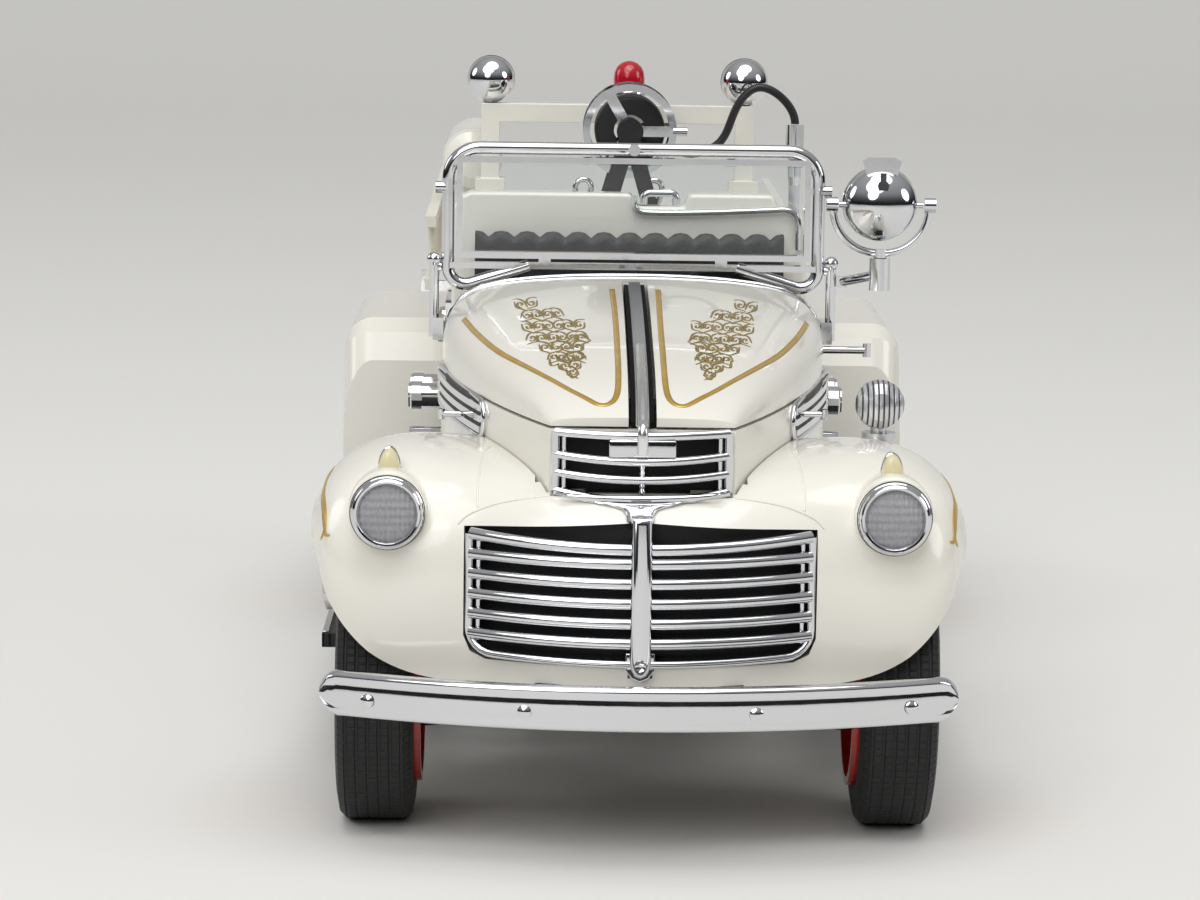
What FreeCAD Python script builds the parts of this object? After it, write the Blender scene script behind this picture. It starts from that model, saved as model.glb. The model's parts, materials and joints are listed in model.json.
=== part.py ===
import FreeCAD, Part
import math
import os

import Sketcher

# Open-cab fire engine, a 1:24 die-cast model, in millimetres.
# The front faces -Y, +Z is up, and the origin is on the floor under the middle of the model.

V = FreeCAD.Vector
OUT = "parts"
os.makedirs(OUT, exist_ok=True)
doc = FreeCAD.newDocument("fire_engine_model")

# Driving sizes. Names ending in _back are distances behind the bumper's front face,
# names ending in _z are heights above the floor, and names ending in _x are distances
# from the middle plane.
SIZES = {
    "overall_length": 262.0,
    "overrun": 4.0,
    "seat_gap": 0.2,
    # wheels and axles
    "front_axle_back": 37.0,
    "tyre_radius": 19.2,
    "tyre_width": 10.5,
    "rear_tyre_width": 9.0,
    "tyre_shoulder": 2.0,
    "rim_radius": 14.0,
    "rim_lip": 0.9,
    "rim_wall": 1.2,
    "disc_thick": 1.6,
    "hub_radius": 4.6,
    "hub_cap_length": 2.6,
    "front_tyre_x": 35.15,
    "kingpin_x": 28.4,
    "kingpin_radius": 1.0,
    "kingpin_length": 11.0,
    "spindle_radius": 1.6,
    "spindle_gap": 0.06,
    "rear_tyre_x": 31.8,
    "dual_gap": 1.0,
    "rear_tyre_gap": 0.6,
    "rear_axle_radius": 1.8,
    "axle_beam_height": 3.6,
    "axle_beam_depth": 3.0,
    # chassis
    "rail_x": 12.0,
    "rail_width": 3.0,
    "rail_low_z": 21.2,
    "rail_height": 2.6,
    "rail_front_back": 9.0,
    "spring_length": 44.0,
    "spring_width": 3.2,
    "spring_leaf": 1.5,
    # bumper
    "bumper_half_width": 42.5,
    "bumper_low_z": 19.3,
    "bumper_height": 6.0,
    "bumper_thick": 3.2,
    "bumper_bow": 10.5,
    "bumper_round": 1.5,
    "bracket_width": 2.4,
    # nose and front fenders
    "fender_front_back": 7.0,
    "fender_length": 62.0,
    "fender_low_z": 23.2,
    "fender_rise": 29.5,
    "fender_out_x": 43.9,
    "well_radius": 22.0,
    "well_in_x": 23.6,
    "well_out_x": 42.0,
    "arch_radius": 20.8,
    "bay_half_width": 14.0,
    # lower grille
    "grille_half_width": 23.2,
    "grille_low_z": 26.6,
    "grille_top_z": 44.0,
    "grille_crown": 1.5,
    "grille_bow": 6.0,
    "grille_cut_room": 60.0,
    "grille_frame": 1.0,
    "grille_bar_height": 1.3,
    "grille_depth": 2.2,
    "grille_corner": 3.0,
    "centre_bar_width": 2.8,
    "centre_bar_proud": 1.6,
    "screen_thick": 0.8,
    # upper grille and prow
    "prow_front_back": 14.4,
    "prow_low_z": 44.0,
    "upper_grille_half_width": 11.8,
    "upper_grille_low_z": 48.4,
    "upper_grille_height": 7.9,
    "upper_grille_bow": 1.6,
    "badge_width": 9.6,
    "badge_height": 2.2,
    # hood and cowl
    "seam_z": 57.0,
    "cowl_front_back": 88.0,
    "cowl_rear_back": 98.0,
    "cowl_half_width": 28.0,
    "cowl_rise": 11.8,
    "shell_wall": 1.3,
    "panel_gap": 0.35,
    "channel_half_width": 1.5,
    "spear_half_width": 0.85,
    "floor_z": 24.0,
    "floor_thick": 1.6,
    "sill_height": 7.0,
    # hood side trim
    "louvre_length": 40.0,
    "louvre_back": 42.0,
    "louvre_height": 0.9,
    "louvre_thick": 0.7,
    "louvre_pitch": 1.5,
    # lamps and siren
    "headlamp_x": 33.3,
    "headlamp_z": 45.6,
    "headlamp_back": 13.5,
    "headlamp_radius": 4.9,
    "headlamp_bezel": 0.8,
    "headlamp_pod_length": 17.0,
    "headlamp_socket": 3.0,
    "lens_bulge": 1.1,
    "parking_z": 51.2,
    "parking_back": 18.5,
    "parking_radius": 1.25,
    "parking_length": 8.0,
    "siren_x": 33.3,
    "siren_z": 56.8,
    "siren_back": 43.0,
    "siren_radius": 3.4,
    "siren_length": 9.5,
    # windshield
    "windshield_back": 99.5,
    "windshield_half_width": 28.6,
    "windshield_low_z": 66.2,
    "windshield_top_z": 88.5,
    "windshield_corner": 4.6,
    "windshield_low_corner": 2.6,
    "sill_bar_z": 70.0,
    "sill_meet_x": 15.5,
    "frame_tube_radius": 0.95,
    "pane_gap": 1.2,
    "pane_bar": 0.9,
    "pane_low_z": 72.0,
    "glass_thick": 0.5,
    "stanchion_x": 29.7,
    "stanchion_radius": 0.75,
    "stanchion_low_z": 59.2,
    "stanchion_top_z": 70.8,
    "knob_radius": 1.1,
    # searchlight at the left of the windshield
    "search_x": 36.3,
    "search_z": 80.5,
    "search_back": 90.5,
    "search_radius": 5.3,
    "search_length": 8.0,
    "yoke_radius": 7.05,
    "yoke_bar": 0.55,
    "yoke_low_z": 73.4,
    "swivel_radius": 0.9,
    "arm_low_z": 67.4,
    "socket_low_z": 67.9,
    "pin_gap": 0.08,
    # cab
    "dash_thick": 1.4,
    "dash_low_z": 52.0,
    "steering_x": 13.0,
    "steering_z": 62.5,
    "steering_back": 108.5,
    "steering_radius": 8.2,
    "steering_rim": 0.65,
    "column_radius": 0.9,
    "cushion_front_back": 112.0,
    "cushion_rear_back": 127.0,
    "cushion_low_z": 40.0,
    "cushion_height": 6.0,
    "seat_half_width": 24.8,
    "seat_back_thick": 4.0,
    "seat_back_top_z": 72.9,
    # bulkhead and hose body
    "bulkhead_back": 131.5,
    "bulkhead_thick": 4.5,
    "bulkhead_half_width": 27.8,
    "bulkhead_top_z": 76.4,
    "bulkhead_corner": 3.0,
    "body_wall": 1.6,
    "body_top_z": 72.0,
    "bed_floor_z": 46.0,
    "bed_front_back": 170.0,
    "body_low_z": 25.0,
    "tail_gate_z": 62.0,
    "hump_in_x": 8.5,
    "hump_out_x": 23.2,
    "top_step_x": 1.0,
    "hump_rise": 2.0,
    # rear fenders and running boards
    "rear_fender_low_z": 17.4,
    "rear_fender_top_z": 53.0,
    "rear_fender_out_x": 46.6,
    "rear_fender_round": 6.5,
    "rear_well_radius": 22.4,
    "rear_arch_radius": 21.2,
    "rear_skin": 1.3,
    "board_low_z": 17.4,
    "board_thick": 2.0,
    "board_out_x": 44.6,
    # pump panel
    "panel_low_z": 28.0,
    "panel_top_z": 60.0,
    "panel_thick": 1.0,
    "panel_gap_length": 4.0,
    "outlet_radius": 2.0,
    "outlet_length": 6.0,
    "inlet_radius": 3.8,
    "gauge_radius": 2.2,
    # gantry, lamps and beacon
    "gantry_back": 153.0,
    "gantry_x": 20.4,
    "gantry_shift": 1.8,
    "gantry_rise": 19.0,
    "gantry_bar": 3.0,
    "foot_bar": 4.8,
    "rear_lamp_radius": 3.7,
    "rear_lamp_length": 5.2,
    "rear_lamp_rise": 3.7,
    "lamp_stem_radius": 0.9,
    "beacon_radius": 2.5,
    "beacon_height": 5.4,
    # hose reel
    "reel_z": 87.6,
    "reel_front_back": 139.0,
    "reel_length": 9.0,
    "reel_radius": 7.4,
    "spoke_width": 1.7,
    "reel_rim": 1.1,
    "reel_drum_radius": 5.6,
    "reel_hub_radius": 2.1,
    "flange_thick": 0.9,
    "crank_radius": 0.7,
    "stand_foot_x": 4.4,
    "stand_bar": 1.3,
    "hose_radius": 0.65,
    "nozzle_x": 26.3,
    "nozzle_top_z": 88.8,
    "nozzle_length": 11.0,
    "nozzle_radius": 1.45,
    # tank on top and ladder at the right
    "tank_x": 25.2,
    "tank_z": 81.3,
    "tank_radius": 4.9,
    "tank_front_back": 158.0,
    "tank_length": 34.0,
    "ladder_x": 31.2,
    "ladder_rail": 1.7,
    "ladder_low_z": 62.6,
    "ladder_width": 11.6,
    "ladder_front_back": 133.5,
    "rung_radius": 0.5,
    "rung_pitch": 7.0,
    # rails, tail step and tail lamps
    "rail_tube_radius": 0.6,
    "tail_step_thick": 2.0,
    "tail_step_half_width": 40.0,
    "tail_lamp_radius": 2.0,
    # engine and underside
    "engine_half_width": 7.0,
    "engine_front_back": 32.0,
    "engine_length": 46.0,
    "engine_low_z": 27.0,
    "engine_height": 26.0,
    "exhaust_radius": 1.2,
}

sheet = doc.addObject("Spreadsheet::Sheet", "Sizes")
for row, (name, value) in enumerate(SIZES.items(), start=1):
    sheet.set(f"A{row}", name)
    sheet.set(f"B{row}", str(value))
    sheet.setAlias(f"B{row}", name)
doc.recompute()


class Size:
    """A length with its value and the sheet expression that gives it."""

    def __init__(self, value, text):
        self.value = float(value)
        self.text = text

    @staticmethod
    def of(other):
        return other if isinstance(other, Size) else Size(other, repr(float(other)))

    def __add__(self, other):
        other = Size.of(other)
        return Size(self.value + other.value, f"({self.text} + {other.text})")

    def __sub__(self, other):
        other = Size.of(other)
        return Size(self.value - other.value, f"({self.text} - {other.text})")

    def __mul__(self, other):
        other = Size.of(other)
        return Size(self.value * other.value, f"({self.text} * {other.text})")

    def __truediv__(self, other):
        other = Size.of(other)
        return Size(self.value / other.value, f"({self.text} / {other.text})")

    def __neg__(self):
        return Size(-self.value, f"(-1 * {self.text})")

    def __float__(self):
        return self.value

    __rmul__ = __mul__


class SheetSizes:
    """Gives each cell of the sheet as a Size by its alias."""

    def __getattr__(self, name):
        return Size(sheet.get(name), f"Sizes.{name}")


size = SheetSizes()
SIDES = {"left": 1, "right": -1}
ALONG_X = FreeCAD.Rotation(V(0, 1, 0), 90)
ALONG_Y = FreeCAD.Rotation(V(1, 0, 0), -90)
ALONG_Z = FreeCAD.Rotation()
nodes = {}

# Places of the rear half, as shares of the way from the bulkhead to the tail.
REAR_AXLE_SHARE = 0.5632
FENDER_MARGIN_SHARE = 0.066
FENDER_TAIL_SHARE = 0.0812
BODY_REAR_SHARE = 0.908
LADDER_SHARE = 0.858


def behind(distance):
    """Y of a place, from its distance behind the bumper's front face."""
    return distance - size.overall_length / 2


REAR_SPAN = size.overall_length - size.bulkhead_back
REAR_AXLE_BACK = size.bulkhead_back + REAR_SPAN * REAR_AXLE_SHARE
REAR_FENDER_FRONT = REAR_AXLE_BACK - size.rear_well_radius - REAR_SPAN * FENDER_MARGIN_SHARE
REAR_FENDER_END = REAR_AXLE_BACK + size.rear_well_radius + REAR_SPAN * FENDER_TAIL_SHARE
BODY_REAR_BACK = size.bulkhead_back + REAR_SPAN * BODY_REAR_SHARE
RAIL_REAR_BACK = BODY_REAR_BACK + size.rail_width / 2
PANEL_FRONT = size.bulkhead_back + size.bulkhead_thick + size.rail_width
PANEL_REAR = REAR_FENDER_FRONT - size.panel_gap_length
GANTRY_TOP_Z = size.body_top_z + size.gantry_rise


def bind_place(thing, x, y, z):
    for axis, value in zip("xyz", (x, y, z)):
        thing.setExpression(f".Placement.Base.{axis}", Size.of(value).text)


def box(name, x, y, z):
    """A block between two places on each axis."""
    thing = doc.addObject("Part::Box", name)
    for prop, (low, high) in zip(("Length", "Width", "Height"), (x, y, z)):
        thing.setExpression(prop, (Size.of(high) - low).text)
    bind_place(thing, x[0], y[0], z[0])
    return thing


def rod(name, radius, length, place, turn=ALONG_Z):
    """A cylinder that starts at a place and runs along a turned Z axis."""
    thing = doc.addObject("Part::Cylinder", name)
    thing.setExpression("Radius", radius.text)
    thing.setExpression("Height", length.text)
    thing.Placement = FreeCAD.Placement(V(), turn)
    bind_place(thing, *place)
    return thing


def ball(name, radius, place):
    thing = doc.addObject("Part::Sphere", name)
    thing.setExpression("Radius", radius.text)
    bind_place(thing, *place)
    return thing


def ring(name, radius, tube, place, turn=ALONG_Z):
    thing = doc.addObject("Part::Torus", name)
    thing.setExpression("Radius1", radius.text)
    thing.setExpression("Radius2", tube.text)
    thing.Placement = FreeCAD.Placement(V(), turn)
    bind_place(thing, *place)
    return thing


def joined(name, *things):
    """One solid, or a group of solids, from several."""
    fuse = doc.addObject("Part::MultiFuse", name)
    fuse.Shapes = list(things)
    return fuse


def less(name, base, *tools):
    """The base with the tools cut away."""
    cut = doc.addObject("Part::Cut", name)
    cut.Base = base
    cut.Tool = tools[0] if len(tools) == 1 else joined(name + "_tools", *tools)
    return cut


def shared(name, first, second):
    """The room that two pieces have in common."""
    common = doc.addObject("Part::Common", name)
    common.Base = first
    common.Tool = second
    return common


def mirrored(name, thing):
    """The same piece on the other side of the middle plane."""
    mirror = doc.addObject("Part::Mirroring", name)
    mirror.Source = thing
    mirror.Normal = V(1, 0, 0)
    return mirror


def shaped(name, shape):
    """A feature whose form is made from curves."""
    thing = doc.addObject("Part::Feature", name)
    thing.Shape = shape
    thing.Placement = FreeCAD.Placement()
    return thing


def sketch_loop(sketch, points):
    """Draws a closed outline and ties every corner to the sheet."""
    first = sketch.GeometryCount
    count = len(points)
    for index in range(count):
        start = points[index]
        end = points[(index + 1) % count]
        corners = [V(float(across), float(up), 0) for across, up in (start, end)]
        sketch.addGeometry(Part.LineSegment(*corners))
    for index, (across, up) in enumerate(points):
        following = (index + 1) % count
        sketch.addConstraint(
            Sketcher.Constraint("Coincident", first + index, 2, first + following, 1))
        for kind, value in (("DistanceX", Size.of(across)), ("DistanceY", Size.of(up))):
            number = sketch.addConstraint(
                Sketcher.Constraint(kind, -1, 1, first + index, 1, value.value))
            sketch.setExpression(f"Constraints[{number}]", value.text)


def new_body(name, plane, outline):
    """A body with one closed sketch on one of its own planes."""
    body = doc.addObject("PartDesign::Body", name)
    sketch = body.newObject("Sketcher::SketchObject", name + "_outline")
    planes = {feature.Role: feature for feature in body.Origin.OriginFeatures}
    sketch.AttachmentSupport = (planes[plane], [""])
    sketch.MapMode = "FlatFace"
    sketch_loop(sketch, outline)
    return body, sketch


def turned(name, outline, place, turn=ALONG_Z):
    """A lathe-turned piece: the outline gives radius and distance along the axis."""
    body, sketch = new_body(name, "XZ_Plane", outline)
    lathe = body.newObject("PartDesign::Revolution", name + "_turned")
    lathe.Profile = sketch
    lathe.ReferenceAxis = (sketch, ["V_Axis"])
    lathe.Angle = 360
    body.Placement = FreeCAD.Placement(V(), turn)
    bind_place(body, *place)
    return body


def plate(name, outline, thick, place, turn=ALONG_Z):
    """A flat piece of even thickness: the outline lies in its own XY plane."""
    body, sketch = new_body(name, "XY_Plane", outline)
    pad = body.newObject("PartDesign::Pad", name + "_pad")
    pad.Profile = sketch
    pad.setExpression("Length", thick.text)
    body.Placement = FreeCAD.Placement(V(), turn)
    bind_place(body, *place)
    return body


def bow_radius(half, bow):
    """Radius of an arc with a half width and the depth of its bow."""
    return (half * half + bow * bow) / (bow * 2)


def bowed(name, centre, radius, thick, half, heights, rounding=None):
    """A bar bowed forward at its middle, swept round an upright centre line behind it."""
    low, high = heights
    outline = [(radius - thick, low), (radius, low), (radius, high), (radius - thick, high)]
    body, sketch = new_body(name, "XZ_Plane", outline)
    sweep = body.newObject("PartDesign::Revolution", name + "_sweep")
    sweep.Profile = sketch
    sweep.ReferenceAxis = (sketch, ["V_Axis"])
    sweep.Midplane = True
    sweep.setExpression("Angle", f"2 * asin({half.text} / {radius.text})")
    if rounding:
        doc.recompute()
        rounds = body.newObject("PartDesign::Fillet", name + "_rounds")
        rounds.Base = (sweep, [f"Edge{index + 1}" for index in range(len(sweep.Shape.Edges))])
        rounds.setExpression("Radius", rounding.text)
    body.Placement = FreeCAD.Placement(V(), FreeCAD.Rotation(V(0, 0, 1), -90))
    bind_place(body, 0, centre, 0)
    return body


def node(name, thing):
    """Names the feature that becomes a sub-part of its own."""
    thing.Label = name
    nodes[name] = thing


def smooth(points):
    curve = Part.BSplineCurve()
    curve.interpolate([V(*[float(value) for value in point]) for point in points])
    return curve.toShape()


def swept(path, radius):
    """A round section carried along a path."""
    first = path.Edges[0]
    start = first.valueAt(first.FirstParameter)
    heading = first.tangentAt(first.FirstParameter)
    section = Part.Wire(Part.Circle(start, heading, float(radius)).toShape())
    return path.makePipeShell([section], True, False)


def tube(points, radius, bends):
    """A round tube along straight runs joined by tangent arcs, with one bend or one for each corner."""
    points = [V(*[float(value) for value in point]) for point in points]
    if not isinstance(bends, list):
        bends = [bends] * (len(points) - 2)
    edges = []
    start = points[0]
    for before, corner, after, bend in zip(points, points[1:], points[2:], bends):
        into = (corner - before).normalize()
        out = (after - corner).normalize()
        half = into.getAngle(out) / 2
        back = float(bend) * math.tan(half)
        arc_start = corner - into * back
        arc_end = corner + out * back
        to_middle = (out - into).normalize()
        middle = corner + to_middle * (float(bend) / math.cos(half) - float(bend))
        if (arc_start - start).Length > float(radius) / 100:
            edges.append(Part.LineSegment(start, arc_start).toShape())
        edges.append(Part.Arc(arc_start, middle, arc_end).toShape())
        start = arc_end
    edges.append(Part.LineSegment(start, points[-1]).toShape())
    return swept(Part.Wire(edges), radius)


def straight(start, end, radius):
    """A round bar from one place to another."""
    start = V(*[float(value) for value in start])
    end = V(*[float(value) for value in end])
    return Part.makeCylinder(float(radius), (end - start).Length, start, end - start)


def leaf_spring(name, x, back, middle_z):
    """A bowed leaf spring whose ends reach the rail above it."""
    y = behind(back)
    half = size.spring_length / 2
    top = size.rail_low_z - size.seat_gap / 2
    leaf = size.spring_leaf
    outline = [(y - half, top), (y - half, top - leaf), (y - half / 2, middle_z - leaf / 2),
               (y, middle_z - leaf), (y + half / 2, middle_z - leaf / 2), (y + half, top - leaf),
               (y + half, top), (y + half - leaf, top), (y + half / 2, middle_z + leaf / 2),
               (y, middle_z), (y - half / 2, middle_z + leaf / 2), (y - half + leaf, top)]
    return plate(name, outline, size.spring_width, (x - size.spring_width / 2, 0, 0),
                 FreeCAD.Rotation(V(1, 1, 1), 120))


def chassis():
    """Two rails with cross members, and the exhaust that hangs from the right one."""
    pieces = []
    for side in SIDES.values():
        middle = side * size.rail_x
        low = middle - size.rail_width / 2
        high = middle + size.rail_width / 2
        pieces.append(box("rail", (low, high), (behind(size.rail_front_back), behind(RAIL_REAR_BACK)),
                          (size.rail_low_z, size.rail_low_z + size.rail_height)))
    for back in (size.rail_front_back + size.rail_width, size.front_axle_back + size.spring_length / 2,
                 size.cowl_rear_back, size.bed_front_back, REAR_AXLE_BACK + size.spring_length / 2,
                 RAIL_REAR_BACK - size.rail_width):
        heights = (size.rail_low_z + size.rail_height / 4, size.rail_low_z + size.rail_height * 3 / 4)
        pieces.append(box("cross_member", (-size.rail_x, size.rail_x),
                          (behind(back - size.rail_width / 2), behind(back + size.rail_width / 2)), heights))
    x = -size.rail_x - size.rail_width - size.exhaust_radius * 3
    z = size.board_low_z - size.exhaust_radius * 2 - size.seat_gap
    y = behind(size.engine_front_back + size.engine_length)
    strap = size.exhaust_radius / 2
    pieces.append(rod("exhaust_pipe", size.exhaust_radius,
                      size.bed_front_back - size.engine_front_back - size.engine_length, (x, y, z), ALONG_Y))
    pieces.append(rod("silencer", size.exhaust_radius * 2, size.spring_length,
                      (x, y + size.spring_length / 2, z), ALONG_Y))
    rail_z = size.rail_low_z + size.rail_height / 2
    for share in (0.6, 1.4):
        middle = y + size.spring_length * share
        pieces.append(box("strap_drop", (x - strap, x + strap), (middle - strap, middle + strap),
                          (z, rail_z + strap)))
        pieces.append(box("strap_arm", (x, -size.rail_x), (middle - strap, middle + strap),
                          (rail_z - strap, rail_z + strap)))
    return joined("chassis_frame", *pieces)


node("chassis_frame", chassis())


def bumper():
    """A bowed bar with rounded edges, on two flat brackets."""
    half = size.bumper_half_width
    radius = bow_radius(half, size.bumper_bow)
    heights = (size.bumper_low_z, size.bumper_low_z + size.bumper_height)
    bar = bowed("bumper_bar", behind(radius), radius, size.bumper_thick, half, heights, size.bumper_round)
    middle_z = size.rail_low_z + size.rail_height / 2
    brackets = []
    for side in SIDES.values():
        middle = side * size.rail_x
        across = (middle - size.bracket_width / 2, middle + size.bracket_width / 2)
        brackets.append(box("bumper_bracket", across,
                            (behind(size.bumper_thick), behind(size.rail_front_back - size.seat_gap)),
                            (middle_z - size.bracket_width / 2, middle_z + size.bracket_width / 2)))
    return joined("front_bumper", bar, *brackets)


node("front_bumper", bumper())

# Half widths of the hood and the engine bay's sides, as shares of the cowl's half width,
# and the hood's rise over the side seam, as shares of the cowl's rise, at shares of the
# way from the prow to the cowl.
HOOD_SHARES = [(0.0, 0.43, 0.10), (0.10, 0.53, 0.36), (0.28, 0.68, 0.58), (0.55, 0.855, 0.79),
               (0.80, 0.96, 0.93), (1.0, 1.0, 1.0)]
ARCH_SHARES = [(1.0, 0.0), (0.998, 0.28), (0.965, 0.55), (0.87, 0.77), (0.66, 0.915), (0.36, 0.98), (0.0, 1.0)]


def hood_place(share):
    """Y at a share of the way from the prow to the cowl."""
    front = float(behind(size.prow_front_back))
    return front + share * (float(behind(size.cowl_front_back)) - front)


def plan_face(inset, z):
    """Plan of the engine bay's sides from the prow to the cowl."""
    right = []
    for share, width_share, _ in HOOD_SHARES:
        half = float(size.cowl_half_width) * width_share + float(size.seat_gap) - inset
        right.append((half, hood_place(share), z))
    front = float(behind(size.prow_front_back)) + inset
    right[0] = (right[0][0], front, z)
    rear = float(behind(size.cowl_front_back))
    left = [(-x, y, z) for x, y, z in right]
    edges = [
        smooth(right),
        Part.LineSegment(V(*right[-1]), V(*left[-1])).toShape(),
        smooth(list(reversed(left))),
        Part.LineSegment(V(*left[0]), V(*right[0])).toShape(),
    ]
    return Part.Face(Part.Wire(edges))


# Side profiles of the nose and front fenders, as shares of the fender's length and rise,
# from the lower front edge over the crown to the lower rear edge, at shares of its half width.
PROFILE_SHARES = {
    0.00: [(0.015, 0.0), (0.0, 0.34), (0.02, 0.72), (0.10, 0.86), (0.26, 0.95), (0.50, 0.97), (0.74, 0.92),
           (0.92, 0.66), (0.99, 0.0)],
    0.30: [(0.045, 0.0), (0.030, 0.34), (0.048, 0.71), (0.12, 0.86), (0.27, 0.95), (0.50, 0.97), (0.74, 0.92),
           (0.92, 0.66), (0.99, 0.0)],
    0.54: [(0.115, 0.0), (0.100, 0.34), (0.118, 0.69), (0.17, 0.85), (0.29, 0.96), (0.49, 0.99), (0.73, 0.92),
           (0.92, 0.62), (0.99, 0.0)],
    0.74: [(0.138, 0.06), (0.125, 0.32), (0.14, 0.62), (0.19, 0.82), (0.30, 0.96), (0.47, 1.0), (0.72, 0.90),
           (0.91, 0.54), (0.99, 0.0)],
    0.88: [(0.170, 0.20), (0.155, 0.40), (0.172, 0.62), (0.23, 0.80), (0.34, 0.90), (0.47, 0.93), (0.69, 0.83),
           (0.88, 0.46), (0.985, 0.0)],
    0.96: [(0.233, 0.40), (0.220, 0.50), (0.238, 0.64), (0.29, 0.75), (0.37, 0.805), (0.47, 0.82), (0.65, 0.73),
           (0.85, 0.38), (0.98, 0.0)],
    1.00: [(0.305, 0.54), (0.295, 0.57), (0.305, 0.61), (0.338, 0.66), (0.39, 0.69), (0.47, 0.70), (0.62, 0.62),
           (0.82, 0.31), (0.97, 0.0)],
}


def profile_wire(x, points):
    """A side profile closed by a straight line along its lower edge."""
    front = float(behind(size.fender_front_back))
    length = float(size.fender_length)
    low = float(size.fender_low_z)
    rise = float(size.fender_rise)
    places = [(x, front + along * length, low + up * rise) for along, up in points]
    lower = Part.LineSegment(V(*places[-1]), V(*places[0])).toShape()
    return Part.Wire([smooth(places), lower])


def parking_lamps():
    """Small bullet lamps on top of the headlamp pods."""
    radius = size.parking_radius
    outline = [(0, 0), (radius * 0.7, radius * 0.3), (radius, radius), (radius, size.parking_length * 0.35),
               (radius * 0.6, size.parking_length * 0.75), (0, size.parking_length)]
    lamps = []
    for name, side in SIDES.items():
        place = (side * size.headlamp_x, behind(size.parking_back), size.parking_z)
        lamps.append(turned(f"parking_{name}", outline, place, ALONG_Y))
    return joined("parking_lamps", *lamps)


PARKING = parking_lamps()
node("parking_lamps", PARKING)


def siren_foot_z():
    """Height of the siren's seat on the left fender's crown."""
    return size.fender_low_z + size.fender_rise * 0.965


GRILLE_FRONT = behind(size.fender_front_back)
GRILLE_RADIUS = bow_radius(size.grille_half_width, size.grille_bow)
GRILLE_CENTRE = GRILLE_FRONT + GRILLE_RADIUS


CENTRE_BAR_STEP = size.grille_top_z + size.grille_crown + size.grille_bar_height


def grille_plate(name, inset, thick, rear):
    """Plate with the lower grille's outline, crowned at the top and rounded at its lower corners."""
    half = size.grille_half_width - inset
    low = size.grille_low_z + inset
    top = size.grille_top_z - inset
    corner = size.grille_corner
    right = [(half - corner, low), (half - corner * 0.3, low + corner * 0.3), (half, low + corner), (half, top)]
    left = [(-x, z) for x, z in reversed(right)]
    outline = [*right, (0, top + size.grille_crown), *left]
    return plate(name, outline, thick, (0, rear, 0), FreeCAD.Rotation(V(1, 0, 0), 90))


def grille_slab(name, inset, ahead, thick):
    """Bowed slab cut to the lower grille's outline, starting a distance ahead of the nose's face."""
    heights = (size.grille_low_z - size.overrun, size.grille_top_z + size.grille_crown + size.overrun)
    slab = bowed(name + "_slab", GRILLE_CENTRE, GRILLE_RADIUS + ahead, thick,
                 size.grille_half_width * 1.4, heights)
    form = grille_plate(name + "_plate", inset, size.grille_cut_room, GRILLE_FRONT + size.grille_cut_room / 2)
    return shared(name, slab, form)


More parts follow.
